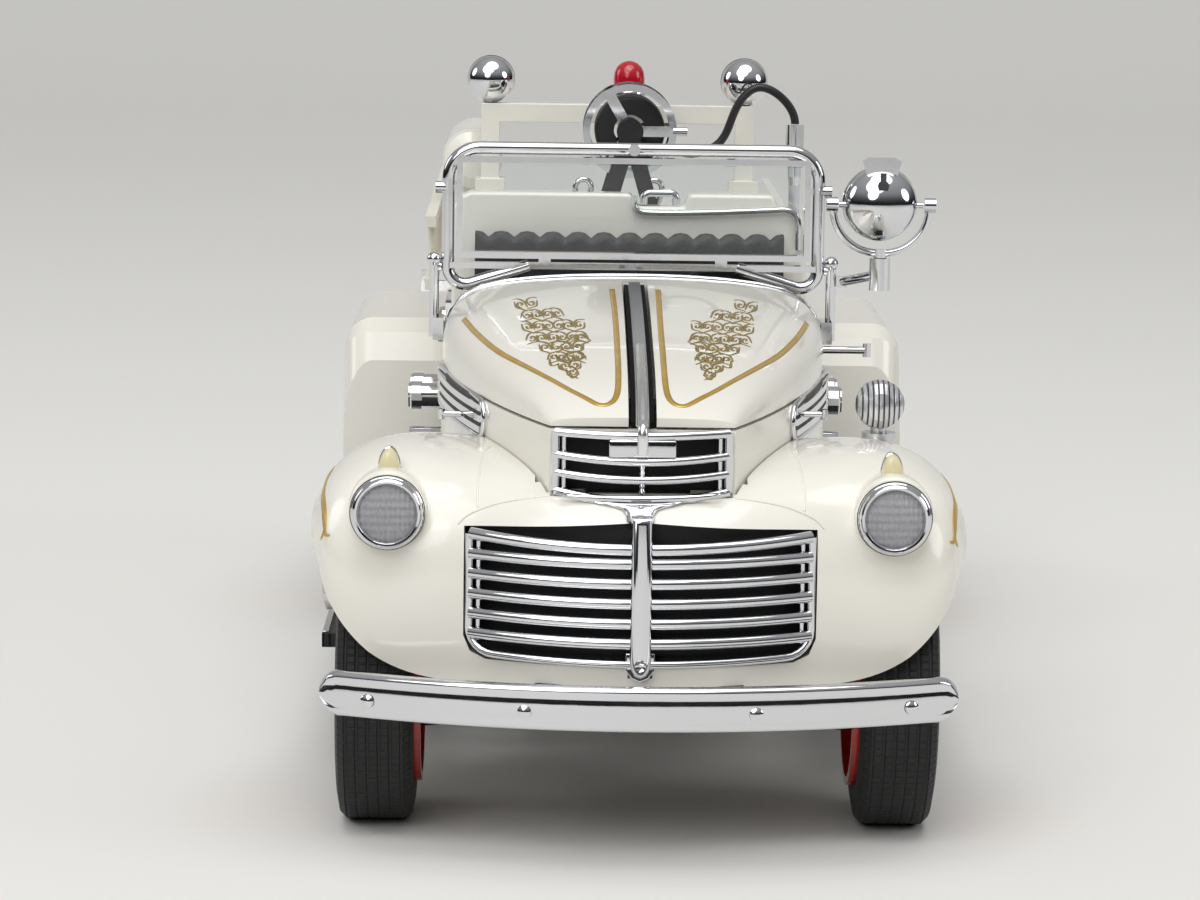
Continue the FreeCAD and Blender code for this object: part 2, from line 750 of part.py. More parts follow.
def nose_fenders():
    """Nose panel and both fenders in one shell, with the grille's opening, the wells and the engine bay."""
    wires = []
    shares = sorted(PROFILE_SHARES)
    half = float(size.fender_out_x)
    for share in [-value for value in reversed(shares[1:])] + shares:
        wires.append(profile_wire(share * half, PROFILE_SHARES[abs(share)]))
    form = shaped("fender_form", Part.makeLoft(wires, True, False))
    pods = []
    sockets = []
    radius = size.headlamp_radius + size.seat_gap / 2
    outline = [(0, size.headlamp_bezel), (radius, size.headlamp_bezel), (radius * 1.04, size.headlamp_socket),
               (radius, size.headlamp_pod_length * 0.4), (radius * 0.72, size.headlamp_pod_length * 0.72),
               (radius * 0.35, size.headlamp_pod_length * 0.93), (0, size.headlamp_pod_length)]
    for name, side in SIDES.items():
        place = (side * size.headlamp_x, behind(size.headlamp_back), size.headlamp_z)
        pods.append(turned(f"pod_{name}", outline, place, ALONG_Y))
        sockets.append(rod(f"pod_socket_{name}", radius, size.headlamp_socket + size.overrun,
                           (place[0], place[1] - size.overrun + size.seat_gap, place[2]), ALONG_Y))
    form = joined("fender_and_pods", form, *pods)
    front = behind(size.fender_front_back)
    clear = float(size.seat_gap)
    prow_low = float(size.prow_low_z) - clear
    prow = plan_face(-clear, prow_low).extrude(V(0, 0, float(size.seam_z + size.overrun) - prow_low))
    seat = size.upper_grille_half_width + size.seat_gap
    foot_z = siren_foot_z()
    foot = size.siren_radius * 0.7 + size.seat_gap / 2
    slot = size.centre_bar_width / 2 + size.seat_gap
    slot_rear = front + size.grille_frame + size.grille_depth + size.seat_gap
    cuts = [
        *sockets,
        PARKING,
        shaped("prow_room", prow),
        rod("siren_seat", foot, size.overrun * 2,
            (size.siren_x, behind(size.siren_back + size.siren_length * 0.3), foot_z)),
        box("upper_grille_seat", (-seat, seat), (front, behind(size.prow_front_back + size.grille_depth)),
            (size.upper_grille_low_z - size.seat_gap, size.seam_z)),
        box("centre_bar_slot", (-slot, slot), (front - size.overrun, slot_rear),
            (size.bumper_low_z + size.bumper_height - size.seat_gap, size.upper_grille_low_z + size.seat_gap)),
        box("centre_bar_top", (-slot, slot), (front, behind(size.prow_front_back)),
            (CENTRE_BAR_STEP - size.seat_gap, size.upper_grille_low_z + size.seat_gap)),
        grille_slab("grille_opening", size.seat_gap * 0, size.overrun,
                    size.overrun + size.grille_depth * 2 + size.screen_thick),
        box("bay_opening", (-size.bay_half_width, size.bay_half_width),
            (behind(size.prow_front_back + size.grille_depth), behind(size.cowl_front_back)),
            (size.fender_low_z - size.overrun, size.seam_z + size.overrun)),
    ]
    for side in SIDES.values():
        middle = side * size.rail_x
        room = size.rail_width / 2 + size.seat_gap
        cuts.append(box("rail_room", (middle - room, middle + room),
                        (behind(size.rail_front_back) - size.seat_gap, front + size.fender_length),
                        (size.rail_low_z, size.rail_low_z + size.rail_height + size.seat_gap)))
        well_start = size.well_in_x if side > 0 else -size.well_out_x
        arch_start = size.well_in_x if side > 0 else -(size.fender_out_x + size.overrun)
        cuts.append(rod("wheel_well", size.well_radius, size.well_out_x - size.well_in_x,
                        (well_start, behind(size.front_axle_back), size.tyre_radius), ALONG_X))
        cuts.append(rod("wheel_arch", size.arch_radius,
                        size.fender_out_x + size.overrun - size.well_in_x,
                        (arch_start, behind(size.front_axle_back), size.tyre_radius), ALONG_X))
    return less("nose_fenders", form, *cuts)


node("nose_fenders", nose_fenders())


def centre_bar():
    """Wide upright bar that follows the nose's face up to the upper grille."""
    low = size.bumper_low_z + size.bumper_height
    top = size.upper_grille_low_z
    rear = GRILLE_FRONT + size.grille_frame + size.grille_depth
    proud = size.centre_bar_proud
    face = []
    for along, up in PROFILE_SHARES[0.0][1:4]:
        face.append((GRILLE_FRONT + size.fender_length * along - proud,
                     size.fender_low_z + size.fender_rise * up))
    face[-1] = (face[-1][0], top)
    prow = behind(size.prow_front_back) - size.seat_gap
    outline = [(GRILLE_FRONT - proud, low), *face, (prow, top), (prow, CENTRE_BAR_STEP),
               (rear, CENTRE_BAR_STEP), (rear, low)]
    return plate("grille_centre", outline, size.centre_bar_width, (-size.centre_bar_width / 2, 0, 0),
                 FreeCAD.Rotation(V(1, 1, 1), 120))


def lower_grille():
    """Bright frame with seven level bars, bowed like the nose and halved by a wide centre bar."""
    frame = less("grille_frame_ring",
                 grille_slab("grille_frame_form", size.seat_gap, -size.grille_frame, size.grille_depth),
                 grille_plate("grille_frame_hole", size.seat_gap + size.grille_frame, size.grille_cut_room,
                              GRILLE_FRONT + size.grille_cut_room / 2))
    low = size.grille_low_z + size.seat_gap
    top = size.grille_top_z - size.seat_gap
    half = size.grille_half_width - size.grille_frame
    count = 7
    pitch = (top - low - size.grille_bar_height) / (count - 1)
    bars = [frame, centre_bar()]
    for index in range(count):
        bar_low = low + pitch * index
        reach = half if index else half - size.grille_corner
        bars.append(bowed(f"grille_bar_{index}", GRILLE_CENTRE, GRILLE_RADIUS - size.grille_frame * 0.8,
                          size.grille_depth, reach, (bar_low, bar_low + size.grille_bar_height)))
    return joined("lower_grille", *bars)


node("lower_grille", lower_grille())


def screens():
    """Dark screens behind the two grilles."""
    depth = size.grille_frame + size.grille_depth + size.seat_gap
    lower = less("lower_screen", grille_slab("screen_form", size.seat_gap, -depth, size.screen_thick),
                 box("screen_slot", (-size.centre_bar_width, size.centre_bar_width),
                     (GRILLE_FRONT, GRILLE_FRONT + depth),
                     (size.grille_low_z, CENTRE_BAR_STEP)))
    top_back = behind(size.prow_front_back) + size.grille_depth * 2
    upper = box("upper_screen", (-size.upper_grille_half_width, size.upper_grille_half_width),
                (top_back, top_back + size.screen_thick),
                (size.upper_grille_low_z, size.upper_grille_low_z + size.upper_grille_height))
    return joined("grille_screens", lower, upper)


node("grille_screens", screens())


def arch_wire(y, half, rise, low, inset):
    """A closed section: an arch over a straight line, moved inwards by an inset."""
    right = [((half - inset) * across, y, low + (rise - inset) * up) for across, up in ARCH_SHARES]
    left = [(-x, y, z) for x, y, z in reversed(right[:-1])]
    arch = smooth(right + left)
    line = Part.LineSegment(V(*left[-1]), V(*right[0])).toShape()
    return Part.Wire([arch, line])


def hood_form(inset, low):
    wires = []
    for share, width_share, rise_share in HOOD_SHARES:
        half = float(size.cowl_half_width) * width_share
        rise = float(size.cowl_rise) * rise_share
        shift = inset if share == 0 else 0
        wires.append(arch_wire(hood_place(share) + shift, half, rise, low, min(inset, rise / 2)))
    return Part.makeLoft(wires, True, False)


def hood_shell():
    """The whole hood before it is split at the channel."""
    seam = float(size.seam_z)
    gap = float(size.panel_gap)
    wall = float(size.shell_wall)
    outer = hood_form(0.0, seam + gap)
    inner = hood_form(wall, seam + gap)
    shell = outer.cut(inner)
    return shell


def hood_half(name, side, shell):
    """One half of the butterfly hood, hinged beside the channel."""
    start = size.channel_half_width + size.panel_gap
    edges = (start, size.cowl_half_width + size.overrun)
    if side < 0:
        edges = (-edges[1], -edges[0])
    keep = box(name + "_keep", edges,
               (behind(size.prow_front_back - size.overrun), behind(size.cowl_front_back - size.panel_gap)),
               (size.seam_z, size.seam_z + size.cowl_rise + size.overrun))
    half = doc.addObject("Part::Common", name)
    half.Base = shell
    half.Tool = keep
    return half


SHELL = shaped("hood_shell_form", hood_shell())
for side_name, side_sign in SIDES.items():
    node(f"hood_{side_name}", hood_half(f"hood_{side_name}", side_sign, SHELL))


def hood_spine():
    """The fixed channel between the hood halves, with its bright spear."""
    half = float(size.channel_half_width)
    strip = hood_form(float(size.shell_wall) / 2, float(size.seam_z) + float(size.panel_gap))
    under = hood_form(float(size.shell_wall) * 2, float(size.seam_z) + float(size.panel_gap))
    band = Part.makeBox(half * 2, float(size.cowl_front_back - size.prow_front_back), float(size.cowl_rise * 2),
                        V(-half, float(behind(size.prow_front_back)), float(size.seam_z)))
    channel = strip.cut(under).common(band)
    spear_half = float(size.spear_half_width)
    raised = hood_form(0.0, float(size.seam_z) + float(size.panel_gap))
    spear_band = Part.makeBox(spear_half * 2, float(size.cowl_front_back - size.prow_front_back) * 0.98,
                              float(size.cowl_rise * 2),
                              V(-spear_half, float(behind(size.prow_front_back)), float(size.seam_z)))
    spear = raised.cut(strip).common(spear_band)
    return shaped("hood_spine", channel.fuse(spear))


node("hood_spine", hood_spine())


def cowl_shell():
    """Prow, bay sides and cowl in one shell, with the firewall and the cowl's sides down to the sills."""
    wall = float(size.shell_wall)
    low = float(size.prow_low_z)
    high = float(size.seam_z)
    outer = plan_face(0.0, low).extrude(V(0, 0, high - low))
    inner = plan_face(wall, low - wall).extrude(V(0, 0, high - low + wall * 2))
    sides = outer.cut(inner)
    grille = Part.makeBox(float(size.upper_grille_half_width * 2), float(size.grille_depth * 2),
                          float(size.upper_grille_height),
                          V(-float(size.upper_grille_half_width),
                            float(behind(size.prow_front_back)) - float(size.grille_depth),
                            float(size.upper_grille_low_z)))
    sides = sides.cut(grille)
    start = float(behind(size.cowl_front_back))
    depth = float(size.cowl_rear_back - size.cowl_front_back)
    half = float(size.cowl_half_width)
    rise = float(size.cowl_rise)
    arch = Part.Face(arch_wire(start, half, rise, high, 0.0)).extrude(V(0, depth, 0))
    arch_in = Part.Face(arch_wire(start + wall, half, rise, high - wall, wall)).extrude(V(0, depth, 0))
    floor = float(size.floor_z)
    skirt = Part.makeBox(half * 2, depth, high - floor, V(-half, start, floor))
    skirt_in = Part.makeBox((half - wall) * 2, depth, high - floor + wall, V(wall - half, start + wall, floor))
    cowl = arch.fuse(skirt).cut(arch_in).cut(skirt_in)
    return shaped("cowl_shell", sides.fuse(cowl))


node("cowl_shell", cowl_shell())


def upper_grille():
    """Four bowed bright bars in a frame, with a blank badge on the top row."""
    front = behind(size.prow_front_back)
    inner = size.upper_grille_half_width - size.seat_gap
    bars = []
    count = 4
    low = size.upper_grille_low_z + size.seat_gap
    height = size.upper_grille_height - size.seat_gap * 2
    bar_height = size.grille_bar_height * 0.75
    pitch = (height - bar_height) / (count - 1)
    bow = size.upper_grille_bow
    for index in range(count):
        outline = [(-inner, -size.grille_frame), (-inner / 2, -(bow * 0.68 + size.grille_frame)),
                   (0, -(bow + size.grille_frame)), (inner / 2, -(bow * 0.68 + size.grille_frame)),
                   (inner, -size.grille_frame), (inner, size.grille_depth), (-inner, size.grille_depth)]
        bars.append(plate(f"upper_bar_{index}", outline, bar_height, (0, front, low + pitch * index)))
    for side in SIDES.values():
        edges = (inner - size.grille_frame, inner) if side > 0 else (-inner, size.grille_frame - inner)
        bars.append(box("upper_side", edges, (front - size.grille_frame / 2, front + size.grille_depth),
                        (low, low + height)))
    half = size.badge_width / 2
    badge_z = low + pitch * 2 + bar_height - size.seat_gap
    bars.append(box("badge", (-half, half), (front - size.upper_grille_bow - size.grille_frame, front),
                    (badge_z, badge_z + size.badge_height)))
    return joined("upper_grille", *bars)


node("upper_grille", upper_grille())


def louvres():
    """Three bright strips along each side of the engine bay."""
    strips = []
    start = float(size.louvre_back)
    end = start + float(size.louvre_length)
    wall = float(size.louvre_thick)
    outer = plan_face(-wall, 0.0)
    inner = plan_face(0.0, 0.0)
    band = outer.cut(inner)
    for index in range(3):
        low = float(size.seam_z) - (index + 1) * float(size.louvre_pitch)
        strip = band.copy()
        strip.translate(V(0, 0, low))
        strip = strip.extrude(V(0, 0, float(size.louvre_height)))
        corner = V(-float(size.cowl_half_width) * 1.5, start - float(size.overall_length) / 2, low)
        window = Part.makeBox(float(size.cowl_half_width * 3), end - start, float(size.louvre_height), corner)
        strips.append(strip.common(window))
    return shaped("side_louvres", strips[0].fuse(strips[1:]))


node("side_louvres", louvres())


def headlamps():
    """Bright rims with their reflector bowls, and the bulged lenses in them."""
    radius = size.headlamp_radius
    rim = radius - size.headlamp_bezel
    depth = size.headlamp_bezel * 2
    outline = [(0, depth), (rim, depth), (rim, 0), (radius - size.headlamp_bezel / 2, -size.headlamp_bezel / 2),
               (radius, 0), (radius, size.headlamp_socket), (0, size.headlamp_socket)]
    lens_rim = rim - size.seat_gap
    lens_outline = [(0, -size.lens_bulge), (lens_rim * 0.6, -size.lens_bulge * 0.65), (lens_rim, 0),
                    (lens_rim, depth - size.seat_gap), (0, depth - size.seat_gap)]
    rims = []
    lenses = []
    for name, side in SIDES.items():
        place = (side * size.headlamp_x, behind(size.headlamp_back), size.headlamp_z)
        rims.append(turned(f"rim_{name}", outline, place, ALONG_Y))
        lenses.append(turned(f"lens_{name}", lens_outline, place, ALONG_Y))
    return joined("headlamp_rims", *rims), joined("headlamp_lenses", *lenses)


RIMS, LENSES = headlamps()
node("headlamp_rims", RIMS)
node("headlamp_lenses", LENSES)


def siren():
    """Bullet-shaped siren on a short post on the left fender."""
    radius = size.siren_radius
    length = size.siren_length
    outline = [(0, -radius * 0.55), (radius * 0.55, -radius * 0.42), (radius * 0.9, 0), (radius, radius * 0.5),
               (radius * 0.92, length * 0.5), (radius * 0.6, length * 0.8), (0, length)]
    shell = turned("siren_shell", outline, (size.siren_x, behind(size.siren_back), size.siren_z), ALONG_Y)
    middle = behind(size.siren_back + size.siren_length * 0.3)
    foot_z = siren_foot_z()
    post = rod("siren_post", radius / 3, size.siren_z - foot_z, (size.siren_x, middle, foot_z))
    foot = rod("siren_foot", radius * 0.7, radius / 3, (size.siren_x, middle, foot_z))
    return joined("siren", shell, post, foot)


node("siren", siren())


def engine():
    """The engine as one plain block on two feet between the rails."""
    half = size.engine_half_width
    start = behind(size.engine_front_back)
    end = start + size.engine_length
    pieces = [box("engine_mass", (-half, half), (start, end),
                  (size.engine_low_z, size.engine_low_z + size.engine_height))]
    foot_low = size.rail_low_z + size.rail_height + size.seat_gap / 2
    for share in (0.15, 0.85):
        y = start + size.engine_length * share
        pieces.append(box("engine_foot", (-size.rail_x, size.rail_x),
                          (y - size.rail_width, y + size.rail_width), (foot_low, size.engine_low_z)))
    return joined("engine_block", *pieces)


node("engine_block", engine())


def windshield():
    """Outer tube frame that bends in over the cowl, round an inner pane frame with the glass in it."""
    y = behind(size.windshield_back)
    radius = size.frame_tube_radius
    half = size.windshield_half_width - radius
    low = size.windshield_low_z
    top = size.windshield_top_z - radius
    meet = size.sill_meet_x
    sill = size.sill_bar_z
    right = [(-half, y, top), (-half, y, low), (-meet, y, sill)]
    loop = [(meet, y, sill), (half, y, low), (half, y, top), *right]
    upper = [size.windshield_corner] * 2
    corners = [size.windshield_low_corner, *upper, size.windshield_low_corner]
    outer = shaped("outer_tube", tube(loop, radius, corners))
    pane_half = half - radius - size.pane_gap
    pane_top = top - radius - size.pane_gap
    bar = size.pane_bar
    frame = less("pane_frame",
                 box("pane_outer", (-pane_half - bar, pane_half + bar), (y - bar, y + bar),
                     (size.pane_low_z - bar, pane_top + bar)),
                 box("pane_hole", (-pane_half, pane_half), (y - size.overrun, y + size.overrun),
                     (size.pane_low_z, pane_top)))
    trims = [box("sill_bar", (-half, half), (y - bar, y + bar), (sill - bar / 2, sill + bar / 2)),
             rod("cap_knob", bar, bar, (0, y - radius - bar / 2, top), ALONG_Y)]
    clamp_z = size.search_z + size.knob_radius
    for side in SIDES.values():
        edges = (pane_half + bar, half) if side > 0 else (-half, -pane_half - bar)
        trims.append(box("pane_link", edges, (y - bar / 2, y + bar / 2),
                         (clamp_z - bar / 2, clamp_z + bar / 2)))
        start = half if side > 0 else -half - radius * 2
        trims.append(rod("clamp_lug", size.knob_radius * 0.8, radius * 2, (start, y, clamp_z), ALONG_X))
        lug = side * meet * 0.85
        trims.append(box("pane_lug", (lug - bar, lug + bar), (y - bar, y + bar),
                         (sill, size.pane_low_z - bar / 2)))
    glass = box("windshield_glass", (-pane_half + size.seat_gap, pane_half - size.seat_gap),
                (y - size.glass_thick / 2, y + size.glass_thick / 2),
                (size.pane_low_z + size.seat_gap, pane_top - size.seat_gap))
    return joined("windshield_frame", outer, frame, *trims), glass


FRAME, GLASS = windshield()
node("windshield_frame", FRAME)
node("windshield_glass", GLASS)


def stanchions():
    """Short bright posts that carry the windshield from the cowl's sides."""
    y = behind(size.windshield_back)
    pieces = []
    for name, side in SIDES.items():
        x = side * size.stanchion_x
        pieces.append(rod(f"post_{name}", size.stanchion_radius, size.stanchion_top_z - size.stanchion_low_z,
                          (x, y, size.stanchion_low_z)))
        inner = size.windshield_half_width if side > 0 else -size.stanchion_x
        pieces.append(rod(f"pivot_{name}", size.stanchion_radius * 0.8,
                          size.stanchion_x - size.windshield_half_width,
                          (inner, y, size.stanchion_top_z - size.knob_radius), ALONG_X))
        pieces.append(ball(f"knob_{name}", size.knob_radius, (x, y, size.stanchion_top_z)))
        foot = (size.cowl_half_width + size.seat_gap / 2, size.stanchion_x)
        foot = foot if side > 0 else (-foot[1], -foot[0])
        pieces.append(box(f"post_foot_{name}", foot,
                          (behind(size.cowl_rear_back - size.knob_radius * 3), y + size.knob_radius),
                          (size.stanchion_low_z, size.stanchion_low_z + size.knob_radius * 3)))
    return joined("windshield_posts", *pieces)


node("windshield_posts", stanchions())


def searchlight():
    """Arm from the left post, a swivelling yoke and the tilting lamp."""
    post_y = behind(size.windshield_back)
    y = behind(size.search_back)
    x = size.search_x
    socket = size.swivel_radius * 1.7
    clamp = size.stanchion_x + size.stanchion_radius + size.seat_gap / 2
    low = size.arm_low_z
    top = size.yoke_low_z - size.yoke_bar - size.seat_gap
    bar = straight((clamp + socket / 2, post_y, low + socket / 2), (x, y, (size.socket_low_z + top) / 2),
                   size.swivel_radius * 0.8)
    arm = joined("arm_solid", shaped("arm_bar", bar),
                 box("arm_clamp", (clamp, clamp + socket), (post_y - socket / 2, post_y + socket / 2),
                     (low, low + socket)),
                 rod("arm_socket", socket, top - size.socket_low_z, (x, y, size.socket_low_z)))
    bore_low = size.socket_low_z + size.swivel_radius
    arm = less("searchlight_arm", arm,
               rod("swivel_bore", size.swivel_radius + size.pin_gap, top - bore_low + size.overrun,
                   (x, y, bore_low)))
    bore_floor = bore_low + size.seat_gap
    swivel = rod("swivel_pin", size.swivel_radius, size.yoke_low_z - bore_floor + size.yoke_bar,
                 (x, y, bore_floor))
    radius = size.yoke_radius
    drop = size.search_z - size.yoke_low_z
    hoop = [(x - radius, y, size.search_z), (x - radius, y, size.search_z - drop),
            (x + radius, y, size.search_z - drop), (x + radius, y, size.search_z)]
    hoop_tube = shaped("yoke_tube", tube(hoop, size.yoke_bar, radius * 0.94))
    eyes = []
    for side in SIDES.values():
        start = x + radius - size.knob_radius * 0.6 if side > 0 else x - radius - size.knob_radius * 0.9
        eyes.append(rod("yoke_eye", size.knob_radius, size.knob_radius * 1.5,
                        (start, y, size.search_z), ALONG_X))
    yoke = joined("searchlight_yoke", hoop_tube, swivel, *eyes)
    bowl = size.search_radius
    outline = [(0, -size.search_length * 0.4), (bowl * 0.5, -size.search_length * 0.36),
               (bowl * 0.85, -size.search_length * 0.2), (bowl, size.search_length * 0.05),
               (bowl, size.search_length * 0.4), (bowl * 0.9, size.search_length * 0.4),
               (bowl * 0.9, size.search_length * 0.34), (0, size.search_length * 0.34)]
    shell = turned("lamp_bowl", outline, (x, y, size.search_z), ALONG_Y)
    pin = rod("lamp_pins", size.yoke_bar * 0.8, (radius - size.knob_radius * 0.6 - size.seat_gap) * 2,
              (x - radius + size.knob_radius * 0.6 + size.seat_gap, y, size.search_z), ALONG_X)
    right = [(bowl * 0.42, bowl * 0.8), (bowl * 0.54, bowl * 1.22), (bowl * 0.36, bowl * 1.32)]
    left = [(-across, up) for across, up in reversed(right)]
    vent = plate("lamp_vent", right + left, bowl * 0.45, (x, y + bowl * 0.25, size.search_z),
                 FreeCAD.Rotation(V(1, 0, 0), 90))
    return arm, yoke, joined("searchlight_lamp", shell, pin, vent)


for part_name, part_thing in zip(("searchlight_arm", "searchlight_yoke", "searchlight_lamp"), searchlight()):
    node(part_name, part_thing)


def cab():
    """Floor with low sills and the seat's box."""
    half = size.cowl_half_width
    wall = size.shell_wall
    start = behind(size.cowl_rear_back)
    end = behind(size.bulkhead_back)
    pieces = [box("floor_plate", (-half, half), (start, end), (size.floor_z, size.floor_z + size.floor_thick))]
    for side in SIDES.values():
        edges = (half - wall, half) if side > 0 else (-half, wall - half)
        pieces.append(box("sill", edges, (start, end), (size.floor_z, size.floor_z + size.sill_height)))
    seat = size.seat_half_width
    pieces.append(box("seat_box", (-seat, seat), (behind(size.cushion_front_back + size.floor_thick), end),
                      (size.floor_z, size.cushion_low_z - size.seat_gap)))
    return joined("cab_floor", *pieces)


node("cab_floor", cab())


def dashboard():
    """Flat board under the cowl's rear edge."""
    half = size.cowl_half_width - size.shell_wall - size.seat_gap
    rear = behind(size.cowl_rear_back - size.dash_thick)
    return box("dashboard", (-half, half), (rear - size.dash_thick, rear), (size.dash_low_z, size.seam_z))


node("dashboard", dashboard())

STEERING_TURN = FreeCAD.Rotation(V(1, 0, 0), -52)


def steering():
    """Rim with three spokes on a sloping column."""
    place = (size.steering_x, behind(size.steering_back), size.steering_z)
    rim = ring("steering_rim_ring", size.steering_radius, size.steering_rim, place, STEERING_TURN)
    hub = rod("steering_hub", size.column_radius * 1.6, size.steering_rim * 2, place, STEERING_TURN)
    spokes = []
    for index in range(3):
        turn = STEERING_TURN.multiply(FreeCAD.Rotation(V(0, 0, 1), 90 + index * 120))
        turn = turn.multiply(FreeCAD.Rotation(V(0, 1, 0), 90))
        spokes.append(rod("steering_spoke", size.steering_rim * 0.7, size.steering_radius, place, turn))
    wheel = joined("steering_wheel", rim, hub, *spokes)
    down = STEERING_TURN.multVec(V(0, 0, -1))
    gap = float(size.seat_gap + size.steering_rim * 0.7)
    reach = float(size.steering_back - size.cowl_rear_back + size.dash_thick - size.seat_gap)
    length = (reach - float(size.column_radius) * abs(down.z)) / abs(down.y) - gap
    start = V(float(place[0]), float(place[1]), float(place[2])) + down * gap
    column = Part.makeCylinder(float(size.column_radius), length, start, down)
    return wheel, shaped("steering_column", column)


WHEEL, COLUMN = steering()
node("steering_wheel", WHEEL)
node("steering_column", COLUMN)


def seats():
    """Bench cushion and upright back, both buttoned leather."""
    half = size.seat_half_width - size.seat_gap
    depth = (behind(size.cushion_front_back), behind(size.cushion_rear_back))
    cushion = box("seat_cushion", (-half, half), depth,
                  (size.cushion_low_z, size.cushion_low_z + size.cushion_height))
    rear = behind(size.bulkhead_back) - size.seat_gap
    back = box("seat_back", (-half, half), (rear - size.seat_back_thick, rear),
               (size.cushion_low_z, size.seat_back_top_z))
    return cushion, back


CUSHION, BACK = seats()
node("seat_cushion", CUSHION)
node("seat_back", BACK)


def bulkhead():
    """Thick panel behind the seat: the top is higher over the right half and at a step on the left."""
    half = size.bulkhead_half_width
    end = behind(size.bulkhead_back) + size.bulkhead_thick
    corner = size.bulkhead_corner
    low_top = size.bulkhead_top_z
    high_top = low_top + size.hump_rise
    left_side = [(half, low_top - corner), (half - corner * 0.3, low_top - corner * 0.3),
                 (half - corner, low_top)]
    hump = [(size.hump_out_x, low_top), (size.hump_out_x - corner / 4, high_top),
            (size.hump_in_x + corner / 4, high_top), (size.hump_in_x, low_top)]
    right_side = [(size.top_step_x, low_top), (size.top_step_x - corner / 4, high_top),
                  (corner - half, high_top), (corner * 0.3 - half, high_top - corner * 0.3),
                  (-half, high_top - corner)]
    outline = [(-half, size.body_low_z), (half, size.body_low_z), *left_side, *hump, *right_side]
    return plate("bulkhead", outline, size.bulkhead_thick, (0, end, 0), FreeCAD.Rotation(V(1, 0, 0), 90))


node("bulkhead", bulkhead())


def hose_body():
    """Rear body with its open hose bed."""
    half = size.bulkhead_half_width
    start = behind(size.bulkhead_back + size.bulkhead_thick)
    end = behind(BODY_REAR_BACK)
    wall = size.body_wall
    outer = box("body_block", (-half, half), (start, end), (size.body_low_z, size.body_top_z))
    bed = box("bed_hollow", (wall - half, half - wall), (behind(size.bed_front_back), end - wall),
              (size.bed_floor_z, size.body_top_z + size.overrun))
    pump_room = box("pump_hollow", (wall - half, half - wall),
                    (start + wall, behind(size.bed_front_back) - wall),
                    (size.body_low_z + wall, size.body_top_z - wall))
    gate = box("gate_cut", (wall - half, half - wall), (end - wall - size.seat_gap, end + size.overrun),
               (size.tail_gate_z, size.body_top_z + size.overrun))
    cuts = [bed, pump_room, gate]
    inner = size.rear_tyre_x - size.rear_tyre_width / 2 - size.rear_tyre_gap
    for side in SIDES.values():
        edge = inner if side > 0 else -half - size.overrun
        cuts.append(rod("wheel_room", size.rear_well_radius, half + size.overrun - inner,
                        (edge, behind(REAR_AXLE_BACK), size.tyre_radius), ALONG_X))
    return less("hose_body", outer, *cuts)


node("hose_body", hose_body())


def rear_fenders():
    """Boxy fenders over the rear wheels, rounded at the top and outside."""
    front = behind(REAR_FENDER_FRONT)
    rear = behind(REAR_FENDER_END)
    low = size.rear_fender_low_z
    top = size.rear_fender_top_z
    corner = size.rear_fender_round
    inner_x = size.bulkhead_half_width + size.seat_gap
    width = size.rear_fender_out_x - inner_x
    outline = [(front, low), (rear, low + corner), (rear, top - corner * 2),
               (rear - corner * 0.8, top - corner * 0.8), (rear - corner * 2, top),
               (front + corner, top), (front + corner * 0.3, top - corner * 0.3), (front, top - corner)]
    turn = FreeCAD.Rotation(V(1, 1, 1), 120)
    body = plate("fender_block", outline, width, (inner_x, 0, 0), turn)
    doc.recompute()
    block = body.Shape
    outer_x = float(size.rear_fender_out_x)
    tolerance = float(size.seat_gap) / 100
    edges = []
    for edge in block.Edges:
        ends = [vertex.Point for vertex in edge.Vertexes]
        if all(abs(point.x - outer_x) < tolerance for point in ends):
            if min(point.z for point in ends) > float(low + corner):
                edges.append(edge)
    rounded = block.makeFillet(float(corner) * 0.75, edges)
    form = shaped("fender_round", rounded)
    axle_y = behind(REAR_AXLE_BACK)
    inside = rod("rear_well", size.rear_well_radius, width - size.rear_skin + size.overrun,
                 (inner_x - size.overrun, axle_y, size.tyre_radius), ALONG_X)
    opening = rod("rear_arch", size.rear_arch_radius, width + size.overrun * 2,
                  (inner_x - size.overrun, axle_y, size.tyre_radius), ALONG_X)
    left = less("rear_fender_left", form, inside, opening)
    return joined("rear_fenders", left, mirrored("rear_fender_right", left))


node("rear_fenders", rear_fenders())


def running_boards():
    """Step boards between the front and rear fenders."""
    start = behind(size.fender_front_back + size.fender_length) - size.seat_gap
    end = behind(REAR_FENDER_FRONT) - size.seat_gap
    inner = size.cowl_half_width + size.seat_gap
    pieces = []
    for side in SIDES.values():
        edges = (inner, size.board_out_x) if side > 0 else (-size.board_out_x, -inner)
        pieces.append(box("board", edges, (start, end),
                          (size.board_low_z, size.board_low_z + size.board_thick)))
        rail_edge = size.rail_x + size.rail_width / 2
        arm = (rail_edge, inner) if side > 0 else (-inner, -rail_edge)
        for share in (0.12, 0.5, 0.88):
            y = start + (end - start) * share
            pieces.append(box("board_arm", arm, (y - size.board_thick, y + size.board_thick),
                              (size.board_low_z, size.board_low_z + size.board_thick)))
    return joined("running_boards", *pieces)


node("running_boards", running_boards())


